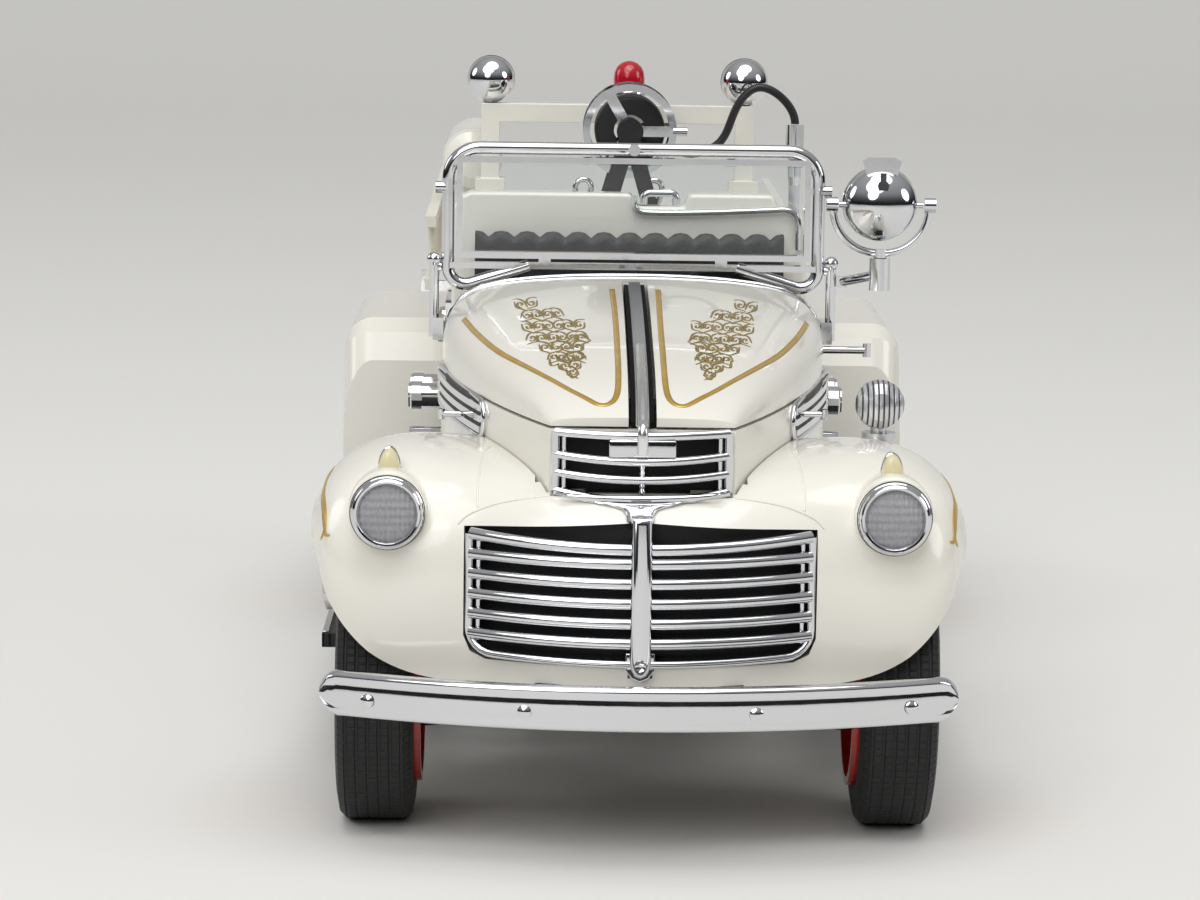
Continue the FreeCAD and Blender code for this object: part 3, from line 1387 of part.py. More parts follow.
def pump_panels():
    """Bright panels on both sides with outlets, a capped inlet and gauges."""
    inner = size.bulkhead_half_width + size.seat_gap / 2
    outer = inner + size.panel_thick
    start = behind(PANEL_FRONT)
    end = behind(PANEL_REAR)
    middle = (start + end) / 2
    apart = (PANEL_REAR - PANEL_FRONT) * 0.194
    panels = []
    fittings = []
    for side in SIDES.values():
        edges = (inner, outer) if side > 0 else (-outer, -inner)
        panels.append(box("pump_plate", edges, (start, end), (size.panel_low_z, size.panel_top_z)))
        for shift in (-apart, apart):
            face = outer if side > 0 else -outer - size.outlet_length
            z = size.panel_low_z + (size.panel_top_z - size.panel_low_z) * 0.5
            fittings.append(rod("outlet", size.outlet_radius, size.outlet_length,
                                (face, middle + shift, z), ALONG_X))
            face = outer if side > 0 else -outer - size.panel_thick
            z = size.panel_low_z + (size.panel_top_z - size.panel_low_z) * 0.84
            fittings.append(rod("gauge", size.gauge_radius, size.panel_thick,
                                (face, middle + shift, z), ALONG_X))
        face = outer if side > 0 else -outer - size.outlet_length
        z = size.panel_low_z + (size.panel_top_z - size.panel_low_z) * 0.2
        fittings.append(rod("inlet", size.inlet_radius, size.outlet_length, (face, middle, z), ALONG_X))
    return joined("pump_panels", *panels), joined("pump_fittings", *fittings)


PANELS, FITTINGS = pump_panels()
node("pump_panels", PANELS)
node("pump_fittings", FITTINGS)


def gantry():
    """White square-tube frame behind the bulkhead, a little to the right, with the beacon's collar."""
    y = behind(size.gantry_back)
    half = size.gantry_bar / 2
    foot = size.foot_bar / 2
    low = size.body_top_z + size.seat_gap
    foot_top = low + (GANTRY_TOP_Z - low) * 0.36
    pieces = [box("crossbar", (-size.gantry_x - size.gantry_shift, size.gantry_x - size.gantry_shift),
                  (y - half, y + half), (GANTRY_TOP_Z - size.gantry_bar, GANTRY_TOP_Z))]
    for side in SIDES.values():
        x = side * size.gantry_x - size.gantry_shift
        pieces.append(box("gantry_post", (x - half, x + half), (y - half, y + half), (low, GANTRY_TOP_Z)))
        pieces.append(box("gantry_foot", (x - foot, x + foot), (y - foot, y + foot), (low, foot_top)))
    pieces.append(rod("beacon_collar", size.beacon_radius * 1.08, size.beacon_height * 0.28,
                      (0, y, GANTRY_TOP_Z)))
    return joined("gantry", *pieces)


node("gantry", gantry())


def rear_lamps():
    """Round work lamps on stems over the gantry's posts."""
    y = behind(size.gantry_back)
    radius = size.rear_lamp_radius
    length = size.rear_lamp_length
    outline = [(0, -length * 0.5), (radius * 0.55, -length * 0.42), (radius * 0.9, -length * 0.15),
               (radius, length * 0.15), (radius, length * 0.4), (radius * 0.9, length * 0.5), (0, length * 0.5)]
    lamps = []
    lamp_z = GANTRY_TOP_Z + size.rear_lamp_rise
    stem_low = GANTRY_TOP_Z + size.seat_gap
    for name, side in SIDES.items():
        x = side * size.gantry_x - size.gantry_shift
        lamps.append(turned(f"work_lamp_{name}", outline, (x, y, lamp_z), ALONG_Y))
        lamps.append(rod(f"work_stem_{name}", size.lamp_stem_radius, lamp_z - radius / 2 - stem_low,
                         (x, y, stem_low)))
    return joined("work_lamps", *lamps)


node("work_lamps", rear_lamps())


def beacon():
    """Red dome on the middle of the crossbar."""
    radius = size.beacon_radius
    tall = size.beacon_height
    outline = [(0, 0), (radius, 0), (radius, tall * 0.45), (radius * 0.87, tall * 0.72),
               (radius * 0.5, tall * 0.94), (0, tall)]
    low = GANTRY_TOP_Z + tall * 0.28 + size.seat_gap / 2
    return turned("beacon_dome", outline, (0, behind(size.gantry_back), low))


node("beacon_dome", beacon())


def reel():
    """Hose reel with its axis along the body: two open flanges, a hub and a crank."""
    z = size.reel_z
    front = behind(size.reel_front_back)
    flanges = []
    for shift in (Size.of(0), size.reel_length - size.flange_thick):
        outer = rod("flange_disc", size.reel_radius, size.flange_thick, (0, front + shift, z), ALONG_Y)
        hole = rod("flange_hole", size.reel_radius - size.reel_rim, size.flange_thick * 3,
                   (0, front + shift - size.flange_thick, z), ALONG_Y)
        flanges.append(less("flange_rim", outer, hole))
        for index in range(3):
            turn = FreeCAD.Rotation(V(0, 1, 0), 90 + index * 120)
            spoke = doc.addObject("Part::Box", "flange_spoke")
            spoke.setExpression("Length", size.spoke_width.text)
            spoke.setExpression("Width", size.flange_thick.text)
            spoke.setExpression("Height", (size.reel_radius - size.reel_rim / 2).text)
            spoke.Placement = FreeCAD.Placement(V(), turn)
            offset = turn.multVec(V(-0.5, 0, 0))
            bind_place(spoke, size.spoke_width * offset.x, front + shift, z + size.spoke_width * offset.z)
            flanges.append(spoke)
    hub = rod("reel_hub", size.reel_hub_radius, size.reel_length + size.flange_thick * 2,
              (0, front - size.flange_thick, z), ALONG_Y)
    crank = rod("reel_crank", size.crank_radius, size.reel_rim * 2,
                (size.reel_radius - size.reel_rim / 2, front + size.flange_thick / 2, z), ALONG_X)
    metal = joined("hose_reel", hub, crank, *flanges)
    drum_gap = size.seat_gap
    coil = rod("coil_solid", size.reel_drum_radius, size.reel_length - (size.flange_thick + drum_gap) * 2,
               (0, front + size.flange_thick + drum_gap, z), ALONG_Y)
    core = rod("coil_core", size.reel_hub_radius + drum_gap, size.reel_length,
               (0, front, z), ALONG_Y)
    return metal, less("hose_coil", coil, core)


REEL, COIL = reel()
node("hose_reel", REEL)
node("hose_coil", COIL)


def reel_stand():
    """Dark legs that carry the reel's hub from the top of the bulkhead."""
    z = size.reel_z
    bar = size.stand_bar
    front = behind(size.reel_front_back) - size.flange_thick - size.seat_gap - bar
    pieces = []
    for start_y in (front, behind(size.reel_front_back) + size.reel_length + size.flange_thick + size.seat_gap):
        for side in SIDES.values():
            foot = side * size.stand_foot_x
            outline = [(-bar, z), (foot - bar, size.body_top_z + size.seat_gap),
                       (foot + bar, size.body_top_z + size.seat_gap), (bar, z)]
            pieces.append(plate("stand_leg", outline, bar, (0, start_y + bar, 0),
                                FreeCAD.Rotation(V(1, 0, 0), 90)))
        pieces.append(rod("stand_eye", size.reel_hub_radius, bar, (0, start_y, z), ALONG_Y))
    return joined("reel_stand", *pieces)


node("reel_stand", reel_stand())


# The hose's way from the reel to the nozzle, as shares of the distance between them across
# and of the reel's radius up from its axis.
HOSE_SHARES = [(0.0, -0.35), (0.20, -0.50), (0.40, -0.25), (0.53, 0.50), (0.70, 0.93), (0.88, 0.74)]


def booster_hose():
    """Black hose from the reel over to its nozzle."""
    y = behind(size.reel_front_back) + size.reel_length / 2
    start = size.reel_drum_radius + size.hose_radius + size.seat_gap
    route = []
    for across, up in HOSE_SHARES:
        route.append((start + (size.nozzle_x - start) * across, y, size.reel_z + size.reel_radius * up))
    route.append((size.nozzle_x, y, size.nozzle_top_z))
    return shaped("booster_hose", swept(Part.Wire([smooth(route)]), size.hose_radius))


node("booster_hose", booster_hose())


def nozzle():
    """Bright branch pipe at the left, in a clip on the body's top."""
    y = behind(size.reel_front_back) + size.reel_length / 2
    radius = size.nozzle_radius
    length = size.nozzle_length
    top = size.nozzle_top_z - size.seat_gap / 2
    outline = [(0, 0), (radius, 0), (radius, -length * 0.35), (radius * 0.75, -length * 0.4),
               (radius * 0.75, -length * 0.75), (radius * 0.45, -length), (0, -length)]
    pipe = turned("nozzle_pipe", outline, (size.nozzle_x, y, top))
    clip = box("nozzle_clip", (size.nozzle_x - radius * 0.6, size.nozzle_x + radius * 0.6),
               (y - radius * 0.6, y + radius * 0.6),
               (size.body_top_z + size.seat_gap / 2, top - length + radius))
    return joined("hose_nozzle", pipe, clip)


node("hose_nozzle", nozzle())


def tank():
    """White drum lying lengthwise on the body's right side, on two saddles."""
    radius = size.tank_radius
    outline = [(0, 0), (radius * 0.6, radius * 0.08), (radius * 0.92, radius * 0.3), (radius, radius * 0.6),
               (radius, size.tank_length - radius * 0.6), (radius * 0.92, size.tank_length - radius * 0.3),
               (radius * 0.6, size.tank_length - radius * 0.08), (0, size.tank_length)]
    drum = turned("tank_drum", outline, (-size.tank_x, behind(size.tank_front_back), size.tank_z), ALONG_Y)
    pieces = [drum]
    for share in (0.2, 0.8):
        y = behind(size.tank_front_back + size.tank_length * share)
        pieces.append(box("saddle", (-size.bulkhead_half_width, -size.bulkhead_half_width + size.body_wall * 2),
                          (y - size.body_wall, y + size.body_wall),
                          (size.body_top_z + size.seat_gap, size.tank_z - radius * 0.5)))
    return joined("side_tank", *pieces)


node("side_tank", tank())


def ladder():
    """Ladder on its edge along the right side, on brackets."""
    start = behind(size.ladder_front_back)
    length = REAR_SPAN * LADDER_SHARE
    end = start + length
    half = size.ladder_rail / 2
    x = -size.ladder_x
    rails = []
    for low in (size.ladder_low_z, size.ladder_low_z + size.ladder_width - size.ladder_rail):
        rails.append(box("ladder_rail_bar", (x - half, x + half), (start, end), (low, low + size.ladder_rail)))
    count = int(float(length) // float(size.rung_pitch))
    for index in range(count):
        y = start + size.rung_pitch * (index + 0.5)
        rails.append(rod("rung", size.rung_radius, size.ladder_width - size.ladder_rail,
                         (x, y, size.ladder_low_z + half)))
    return joined("ladder", *rails)


node("ladder", ladder())


def ladder_brackets():
    """Bright hooks under the ladder's lower rail."""
    half = size.ladder_rail / 2
    inner = -size.bulkhead_half_width - size.seat_gap / 2
    pieces = []
    for share in (0.15, 0.85):
        y = behind(size.ladder_front_back + REAR_SPAN * LADDER_SHARE * share)
        under = size.ladder_low_z - size.seat_gap
        outer = -size.ladder_x - half - size.rung_radius * 2
        pieces.append(box("hook", (outer, inner), (y - half, y + half), (under - size.ladder_rail, under)))
        pieces.append(box("hook_tip", (outer, -size.ladder_x - half - size.seat_gap),
                          (y - half, y + half), (under - size.ladder_rail, under + size.ladder_rail)))
    return pieces


def grab_rails():
    """Bright hand rails on top of the bulkhead and across the tail."""
    radius = size.rail_tube_radius
    y = behind(size.bulkhead_back) + radius * 2
    low = size.bulkhead_top_z + size.seat_gap
    high = low + radius * 3
    left = size.hump_in_x - radius * 2
    right = size.top_step_x + radius * 2
    top_rail = tube([(right, y, low), (right, y, high), (left, y, high), (left, y, low)], radius, radius * 1.5)
    tail_y = behind(BODY_REAR_BACK)
    out = tail_y + radius * 5
    half = size.bulkhead_half_width - size.body_wall * 2
    rail_z = size.tail_gate_z - radius * 3
    tail = tube([(-half, tail_y + size.seat_gap / 2, rail_z), (-half, out, rail_z), (half, out, rail_z),
                 (half, tail_y + size.seat_gap / 2, rail_z)], radius, radius * 2.5)
    tubes = shaped("rail_tubes", Part.makeCompound([top_rail, tail]))
    return joined("bright_rails", tubes, *ladder_brackets())


node("bright_rails", grab_rails())


def tail_step():
    """Wide step behind the body, on the frame's ends."""
    start = behind(BODY_REAR_BACK) + size.seat_gap
    end = behind(size.overall_length)
    half = size.tail_step_half_width
    top = size.rail_low_z + size.rail_height + size.seat_gap + size.tail_step_thick
    step = box("step_plate", (-half, half), (start, end), (top - size.tail_step_thick, top))
    return step


node("tail_step", tail_step())


def tail_lamps():
    """Round red lamps at the rear of the fenders."""
    y = behind(REAR_FENDER_END) + size.seat_gap
    radius = size.tail_lamp_radius
    outline = [(0, 0), (radius, 0), (radius, radius * 0.6), (radius * 0.6, radius * 0.9), (0, radius)]
    lamps = []
    for name, side in SIDES.items():
        x = side * (size.bulkhead_half_width + size.rear_fender_out_x) / 2
        z = size.rear_fender_low_z + size.rear_fender_round * 2
        lamps.append(turned(f"tail_lamp_{name}", outline, (x, y, z), ALONG_Y))
    return joined("tail_lamps", *lamps)


node("tail_lamps", tail_lamps())


def front_axle():
    """Beam under the rails with its leaf springs and kingpin eyes."""
    y = behind(size.front_axle_back)
    half_height = size.axle_beam_height / 2
    half_depth = size.axle_beam_depth / 2
    z = size.tyre_radius
    eye = size.kingpin_radius * 2
    inner = size.kingpin_x - eye
    beam_top = z - size.kingpin_radius * 2.6
    pieces = [box("beam", (-inner - eye / 2, inner + eye / 2), (y - half_depth, y + half_depth),
                  (beam_top - half_height * 2, beam_top))]
    for side in SIDES.values():
        x = side * size.kingpin_x
        pieces.append(rod("axle_eye", eye, size.axle_beam_height, (x, y, beam_top - half_height * 2)))
        pieces.append(leaf_spring("front_spring", side * size.rail_x, size.front_axle_back,
                                  beam_top + size.spring_leaf * 0.9))
    bores = []
    for side in SIDES.values():
        bores.append(rod("eye_bore", size.kingpin_radius + size.spindle_gap, size.kingpin_length,
                         (side * size.kingpin_x, y, z - size.kingpin_length)))
    return less("front_axle", joined("axle_solid", *pieces), *bores)


node("front_axle", front_axle())


def knuckle(name, side):
    """Kingpin with its spindle, which carries one front wheel."""
    y = behind(size.front_axle_back)
    z = size.tyre_radius
    x = side * size.kingpin_x
    beam_top = z - size.kingpin_radius * 2.6
    bottom = beam_top - size.axle_beam_height
    pin = rod(f"{name}_pin", size.kingpin_radius, z + size.kingpin_radius - bottom, (x, y, bottom))
    block_low = beam_top + size.seat_gap
    block = box(f"{name}_block", (x - size.kingpin_radius * 1.6, x + size.kingpin_radius * 1.6),
                (y - size.kingpin_radius * 1.6, y + size.kingpin_radius * 1.6),
                (block_low, z + size.spindle_radius))
    tip = size.front_tyre_x
    start = x if side > 0 else -tip
    spindle = rod(f"{name}_spindle", size.spindle_radius, size.front_tyre_x - size.kingpin_x,
                  (start, y, z), ALONG_X)
    return joined(name, pin, block, spindle)


for side_name, side_sign in SIDES.items():
    node(f"knuckle_{side_name}", knuckle(f"knuckle_{side_name}", side_sign))


def tyre_outline(width, shift):
    """Section of one tyre with rounded shoulders."""
    half = width / 2
    outer = size.tyre_radius
    bead = size.rim_radius
    step = size.tyre_shoulder
    right = [(bead, half * 0.86), (bead + step * 0.6, half), (outer - step * 1.4, half),
             (outer - step * 0.45, half * 0.93), (outer, half * 0.76)]
    lower = [(radius, shift - along) for radius, along in right]
    upper = [(radius, shift + along) for radius, along in reversed(right)]
    return lower + upper


def wheel_outline(bore):
    """Section of one pressed wheel: rim with a lip at the inner side, dished disc and hub."""
    half = size.tyre_width / 2
    rim = size.rim_radius - size.seat_gap / 10
    wall = size.rim_wall
    disc = size.disc_thick
    hub = size.hub_radius
    cap = size.hub_cap_length
    inner = -half - size.rim_lip
    return [(bore, -half * 0.3), (hub, -half * 0.3), (rim - wall, 0), (rim - wall, inner), (rim, inner),
            (rim, half * 0.9), (rim - wall, half * 0.9), (rim - wall, disc), (hub, disc - half * 0.3),
            (hub, cap), (hub * 0.6, cap * 1.5), (0, cap * 1.6), (0, cap * 0.4), (bore, cap * 0.4)]


def front_wheel(name, side):
    """Wheel and tyre that turn on the knuckle's spindle."""
    turn = FreeCAD.Rotation(V(0, 1, 0), 90 * side)
    place = (side * size.front_tyre_x, behind(size.front_axle_back), size.tyre_radius)
    bore = size.spindle_radius + size.spindle_gap
    rim = turned(f"front_wheel_{name}", wheel_outline(bore), place, turn)
    tyre = turned(f"front_tyre_{name}", tyre_outline(size.tyre_width, Size.of(0)), place, turn)
    node(f"front_wheel_{name}", rim)
    node(f"front_tyre_{name}", tyre)


def rear_wheel(name, side):
    """Twin wheels that turn together on the rear axle."""
    turn = FreeCAD.Rotation(V(0, 1, 0), 90 * side)
    place = (side * size.rear_tyre_x, behind(REAR_AXLE_BACK), size.tyre_radius)
    width = size.rear_tyre_width
    half = width / 2
    spread = width + size.dual_gap
    rim = size.rim_radius - size.seat_gap / 10
    wall = size.rim_wall
    disc = size.disc_thick
    bore = size.rear_axle_radius + size.spindle_gap
    hub = size.hub_radius
    cap = size.hub_cap_length
    outline = [(bore, -half * 0.6), (hub, -half * 0.6), (hub, half), (rim - wall, half),
               (rim - wall, -half * 0.9), (rim, -half * 0.9), (rim, spread + half * 0.9),
               (rim - wall, spread + half * 0.9), (rim - wall, half + disc * 1.4), (hub, half + disc * 1.4),
               (hub, spread + cap * 0.3), (hub * 0.6, spread + cap), (0, spread + cap * 1.1),
               (0, half + disc * 2), (bore, half + disc * 2)]
    node(f"rear_wheel_{name}", turned(f"rear_wheel_{name}", outline, place, turn))
    inner = turned(f"inner_tyre_{name}", tyre_outline(width, Size.of(0)), place, turn)
    outer = turned(f"outer_tyre_{name}", tyre_outline(width, spread), place, turn)
    node(f"rear_tyres_{name}", joined(f"rear_tyres_{name}", inner, outer))


for side_name, side_sign in SIDES.items():
    front_wheel(side_name, side_sign)
    rear_wheel(side_name, side_sign)


def rear_axle():
    """Axle tube with its round housing, springs and the propeller shaft."""
    y = behind(REAR_AXLE_BACK)
    z = size.tyre_radius
    reach = size.rear_tyre_x + size.rear_tyre_width / 2
    pieces = [rod("axle_tube", size.rear_axle_radius, reach * 2, (-reach, y, z), ALONG_X),
              ball("axle_housing", size.rear_axle_radius * 2.2, (0, y, z))]
    for side in SIDES.values():
        pieces.append(leaf_spring("rear_spring", side * size.rail_x, REAR_AXLE_BACK,
                                  z - size.rear_axle_radius * 0.8))
    pieces.append(rod("propeller_shaft", size.exhaust_radius,
                      REAR_AXLE_BACK - size.engine_front_back - size.engine_length,
                      (0, behind(size.engine_front_back + size.engine_length), z), ALONG_Y))
    return joined("rear_axle", *pieces)


node("rear_axle", rear_axle())


doc.recompute()
faults = []
for thing in doc.Objects:
    if any(word in state for state in thing.State for word in ("Invalid", "Error")):
        faults.append(f"{thing.Name}: {thing.State}")
for name, thing in nodes.items():
    shape = thing.Shape
    if shape.isNull() or not shape.isValid() or not shape.Solids:
        faults.append(f"{name}: bad shape")
if faults:
    raise RuntimeError("; ".join(faults))
for name, thing in nodes.items():
    thing.Shape.exportStep(os.path.join(OUT, f"{name}.step"))
print(f"{len(nodes)} parts written")
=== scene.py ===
import json
import math

import bmesh
import bpy
from mathutils import Matrix, Vector
from mathutils.bvhtree import BVHTree


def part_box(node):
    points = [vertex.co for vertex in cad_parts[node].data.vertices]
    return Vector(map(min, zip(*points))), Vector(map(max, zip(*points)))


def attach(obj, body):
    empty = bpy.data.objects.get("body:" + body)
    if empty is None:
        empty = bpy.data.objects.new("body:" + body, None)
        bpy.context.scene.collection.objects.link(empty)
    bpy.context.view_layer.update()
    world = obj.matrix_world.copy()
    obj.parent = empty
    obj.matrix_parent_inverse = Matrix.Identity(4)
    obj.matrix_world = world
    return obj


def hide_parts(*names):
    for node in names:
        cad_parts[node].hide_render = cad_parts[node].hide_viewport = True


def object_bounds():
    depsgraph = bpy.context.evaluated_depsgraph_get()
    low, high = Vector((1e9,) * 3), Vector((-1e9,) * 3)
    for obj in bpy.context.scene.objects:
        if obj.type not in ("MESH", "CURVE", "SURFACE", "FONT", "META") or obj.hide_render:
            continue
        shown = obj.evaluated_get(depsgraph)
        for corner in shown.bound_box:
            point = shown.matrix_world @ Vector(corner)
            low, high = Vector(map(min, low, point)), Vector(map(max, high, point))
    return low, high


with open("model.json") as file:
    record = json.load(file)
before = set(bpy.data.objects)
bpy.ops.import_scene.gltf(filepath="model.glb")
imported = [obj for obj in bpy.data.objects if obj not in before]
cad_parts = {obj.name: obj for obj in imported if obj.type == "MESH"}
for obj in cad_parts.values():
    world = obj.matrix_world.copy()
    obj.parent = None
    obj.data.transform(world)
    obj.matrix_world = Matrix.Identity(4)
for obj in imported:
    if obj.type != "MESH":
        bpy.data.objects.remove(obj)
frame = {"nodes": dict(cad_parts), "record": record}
cad_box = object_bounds()

# Camera. The model stands on a table and is looked at from the front, a little from above
# and a little from its right side, with a long lens held slightly out of level.
MM = 0.001
front_edge = cad_box[0][1]
camera_distance = 556.0 * MM
camera_height = 134.4 * MM
camera_aside = -12.4 * MM
looks_down = 8.0
looks_aside = -0.69
out_of_level = 0.8
camera_data = bpy.data.cameras.new("camera")
camera_data.lens = 132.0
camera_data.sensor_width = 36.0
camera_data.clip_end = 20.0
camera = bpy.data.objects.new("camera", camera_data)
bpy.context.scene.collection.objects.link(camera)
bpy.context.scene.camera = camera
camera_turn = (
    Matrix.Rotation(math.radians(looks_aside), 4, "Z")
    @ Matrix.Rotation(math.radians(90.0 - looks_down), 4, "X")
    @ Matrix.Rotation(math.radians(out_of_level), 4, "Z")
)
camera_place = Vector((camera_aside, front_edge - camera_distance, camera_height))
camera.matrix_world = Matrix.Translation(camera_place) @ camera_turn

# Table. A plain pale matt sheet under the model that curves up far behind it.
bpy.context.scene.view_settings.view_transform = "Standard"


def linear(hex_colour):
    """An sRGB colour such as 8a6b3c as the linear values that Blender mixes."""
    values = [int(hex_colour[start:start + 2], 16) / 255 for start in (0, 2, 4)]
    return [value / 12.92 if value <= 0.04045 else ((value + 0.055) / 1.055) ** 2.4 for value in values]


def node(material, kind, settings=None, **links):
    """Adds one shader node with its settings, and joins other nodes or sockets to its inputs."""
    tree = material.node_tree
    made = tree.nodes.new(f"ShaderNode{kind}")
    for name, value in (settings or {}).items():
        if isinstance(name, str) and hasattr(made, name):
            setattr(made, name, value)
        else:
            made.inputs[name].default_value = (*linear(value), 1) if isinstance(value, str) else value
    for name, source in links.items():
        slot = int(name[1:]) if name[0] == "n" and name[1:].isdigit() else name
        socket = source if isinstance(source, bpy.types.NodeSocket) else source.outputs[0]
        tree.links.new(socket, made.inputs[slot])
    return made


def finish(name, colour, roughness, **sockets):
    """A surface with its colour, its roughness and any other constants of the shader."""
    material = bpy.data.materials.new(name)
    material.use_nodes = True
    shader = material.node_tree.nodes["Principled BSDF"]
    shader.inputs["Base Color"].default_value = (*linear(colour), 1)
    shader.inputs["Roughness"].default_value = roughness
    for socket, value in sockets.items():
        shader.inputs[socket.replace("_", " ")].default_value = value
    return material


def feed(material, name, socket):
    """Lets a pattern drive one input of the surface."""
    material.node_tree.links.new(socket, material.node_tree.nodes["Principled BSDF"].inputs[name])


def place_of(material, shift=(0, 0, 0)):
    """The place on a piece in its own millimetres, which patterns are drawn from."""
    coordinates = node(material, "TexCoord")
    return node(material, "Mapping", {"Location": shift, "Scale": (1000, 1000, 1000)},
                Vector=coordinates.outputs["Object"])


def relief(material, height, depth):
    """Raises the surface by a height pattern, in millimetres."""
    bump = node(material, "Bump", {"Distance": depth * MM, "Strength": 1.0}, Height=height)
    feed(material, "Normal", bump.outputs[0])


def new_verts(made):
    """The corners that an extrusion has added."""
    return [item for item in made["geom"] if isinstance(item, bmesh.types.BMVert)]


def round_edges(shape, edges, width, segments):
    """Bevels edges to a round of a width in metres."""
    bmesh.ops.bevel(shape, geom=edges, offset=width, offset_type="OFFSET", affect="EDGES",
                    segments=segments, profile=0.5, material=-1)


def keep(name, shape, material, body=None, corner=35.0, replaces=(), slot=None):
    """Turns a finished mesh into a piece, with smooth shading up to a corner angle."""
    mesh = bpy.data.meshes.new(name)
    shape.to_mesh(mesh)
    shape.free()
    made = bpy.data.objects.new(name, mesh)
    bpy.context.scene.collection.objects.link(made)
    mesh.materials.append(material)
    mesh.shade_smooth()
    mesh.set_sharp_from_angle(angle=math.radians(corner))
    if body:
        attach(made, body)
    if replaces:
        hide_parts(*replaces)
    return made


table_finish = finish("table_sheet", "e4e3df", 0.75)
grain = node(table_finish, "TexNoise", {"Scale": 0.4, "Detail": 5.0}, Vector=place_of(table_finish))
relief(table_finish, grain, 0.02)
table_half = 2.6
table_curve = 1.2
table = bmesh.new()
bmesh.ops.create_grid(table, x_segments=1, y_segments=1, size=table_half)
back_edges = [edge for edge in table.edges if all(vertex.co.y > 0 for vertex in edge.verts)]
curve_up = bmesh.ops.extrude_edge_only(table, edges=back_edges)
bmesh.ops.translate(table, vec=(0, 0, table_half), verts=new_verts(curve_up))
low_edge = [edge for edge in table.edges if all(v.co.y > 0 and v.co.z == 0 for v in edge.verts)]
round_edges(table, low_edge, table_curve, 16)
keep("table", table, table_finish)

# Light. A wide soft sun and round lamps that show in the plating, in a room that is pale above
# and darker low down, which gives the plating its bands.
world = bpy.data.worlds.new("studio")
bpy.context.scene.world = world
world.use_nodes = True
room = world.node_tree.nodes["Background"]
room_way = node(world, "TexCoord")
room_height = node(world, "SeparateXYZ", Vector=room_way.outputs["Generated"])
room_share = node(world, "MapRange", {"From Min": -0.35, "From Max": 1.0}, Value=room_height.outputs["Z"])
room_shade = node(world, "ValToRGB", Fac=room_share)
room_levels = [(0.0, "151516"), (0.26, "1d1d1f"), (0.33, "3b3c3f"), (0.45, "7e7f82"), (0.6, "c4c5c7"),
               (1.0, "f6f6f6")]
while len(room_shade.color_ramp.elements) < len(room_levels):
    room_shade.color_ramp.elements.new(0.5)
for element, (height, colour) in zip(room_shade.color_ramp.elements, room_levels):
    element.position = height
    element.color = (*linear(colour), 1)
world.node_tree.links.new(room_shade.outputs[0], room.inputs["Color"])
room.inputs["Strength"].default_value = 0.5


def light(name, kind, watts, aim_from, place=(0, 0, 0)):
    """A light of one kind that shines from one place towards another."""
    data = bpy.data.lights.new(name, kind)
    data.energy = watts
    made = bpy.data.objects.new(name, data)
    bpy.context.scene.collection.objects.link(made)
    way = (Vector(place) - Vector(aim_from)).to_track_quat("-Z", "Y").to_matrix().to_4x4()
    made.matrix_world = Matrix.Translation(aim_from) @ way
    return data


for name, watts, lamp_from, lamp_at, lamp_size in (
        ("over_lamp", 3.3, (0.05, -0.25, 0.95), (0, 0, 0.03), 0.8),
        ("front_lamp", 1.5, (-0.35, -1.0, 0.55), (0, -0.1, 0.04), 0.55),
        ("left_lamp", 1.6, (1.0, -0.3, 0.45), (0, 0, 0.05), 0.5),
        ("right_lamp", 1.2, (-1.0, 0.2, 0.5), (0, 0, 0.05), 0.5)):
    lamp_data = light(name, "AREA", watts, lamp_from, lamp_at)
    lamp_data.shape = "DISK"
    lamp_data.size = lamp_size
light("wide_light", "SUN", 1.08, (-0.25, -0.75, 1.0)).angle = math.radians(50)


# Frame and engine. The frame and axles are cast and sprayed a satin black, the engine a plain
# dark grey; both are boxy castings, which come out of the die with small rounded edges.
def mottle(material, first, second, scale):
    """A slow change between two near colours, such as paint and rubber show."""
    cloud = node(material, "TexNoise", {"Scale": scale, "Detail": 3.0}, Vector=place_of(material))
    blend = node(material, "Mix", {"data_type": "RGBA", 6: first, 7: second}, n0=cloud)
    feed(material, "Base Color", blend.outputs[2])


def roughen(material, low, high, scale):
    """Lets the gloss vary a little over the surface, as handling leaves it."""
    cloud = node(material, "TexNoise", {"Scale": scale, "Detail": 4.0}, Vector=place_of(material))
    span = node(material, "MapRange", {"To Min": low, "To Max": high}, Value=cloud)
    feed(material, "Roughness", span.outputs[0])


def dress(slot, material):
    """Gives every solid of one paint or stuff its finish."""
    for subpart in frame["record"]["subparts"]:
        if subpart["material_slot"] == slot:
            materials = frame["nodes"][subpart["node"]].data.materials
            materials.clear()
            materials.append(material)


def softened(name, width, material, slot, segments=2):
    """A merged copy of a solid with its edges rounded, shown in the solid's place."""
    corner = 32.0
    shape = bmesh.new()
    shape.from_mesh(frame["nodes"][name].data)
    bmesh.ops.remove_doubles(shape, verts=shape.verts, dist=0.002 * MM)
    bmesh.ops.dissolve_limit(shape, angle_limit=math.radians(1.0), verts=shape.verts, edges=shape.edges)
    made = keep(f"{name}_dressed", shape, material, "body", corner, (name,), slot)
    rounding = made.modifiers.new("rounded_edges", "BEVEL")
    rounding.width = width * MM
    rounding.segments = segments
    rounding.limit_method = "ANGLE"
    rounding.angle_limit = math.radians(corner)
    rounding.harden_normals = True


satin_black = finish("satin_black", "141415", 0.42)
mottle(satin_black, "161617", "101011", 0.15)
roughen(satin_black, 0.36, 0.5, 0.4)
dress("black_paint", satin_black)
softened("chassis_frame", 0.2, satin_black, "black_paint")
engine_grey = finish("engine_grey", "4d5252", 0.45)
mottle(engine_grey, "505656", "464a4a", 0.2)
dress("engine_paint", engine_grey)
softened("engine_block", 0.5, engine_grey, "engine_paint")

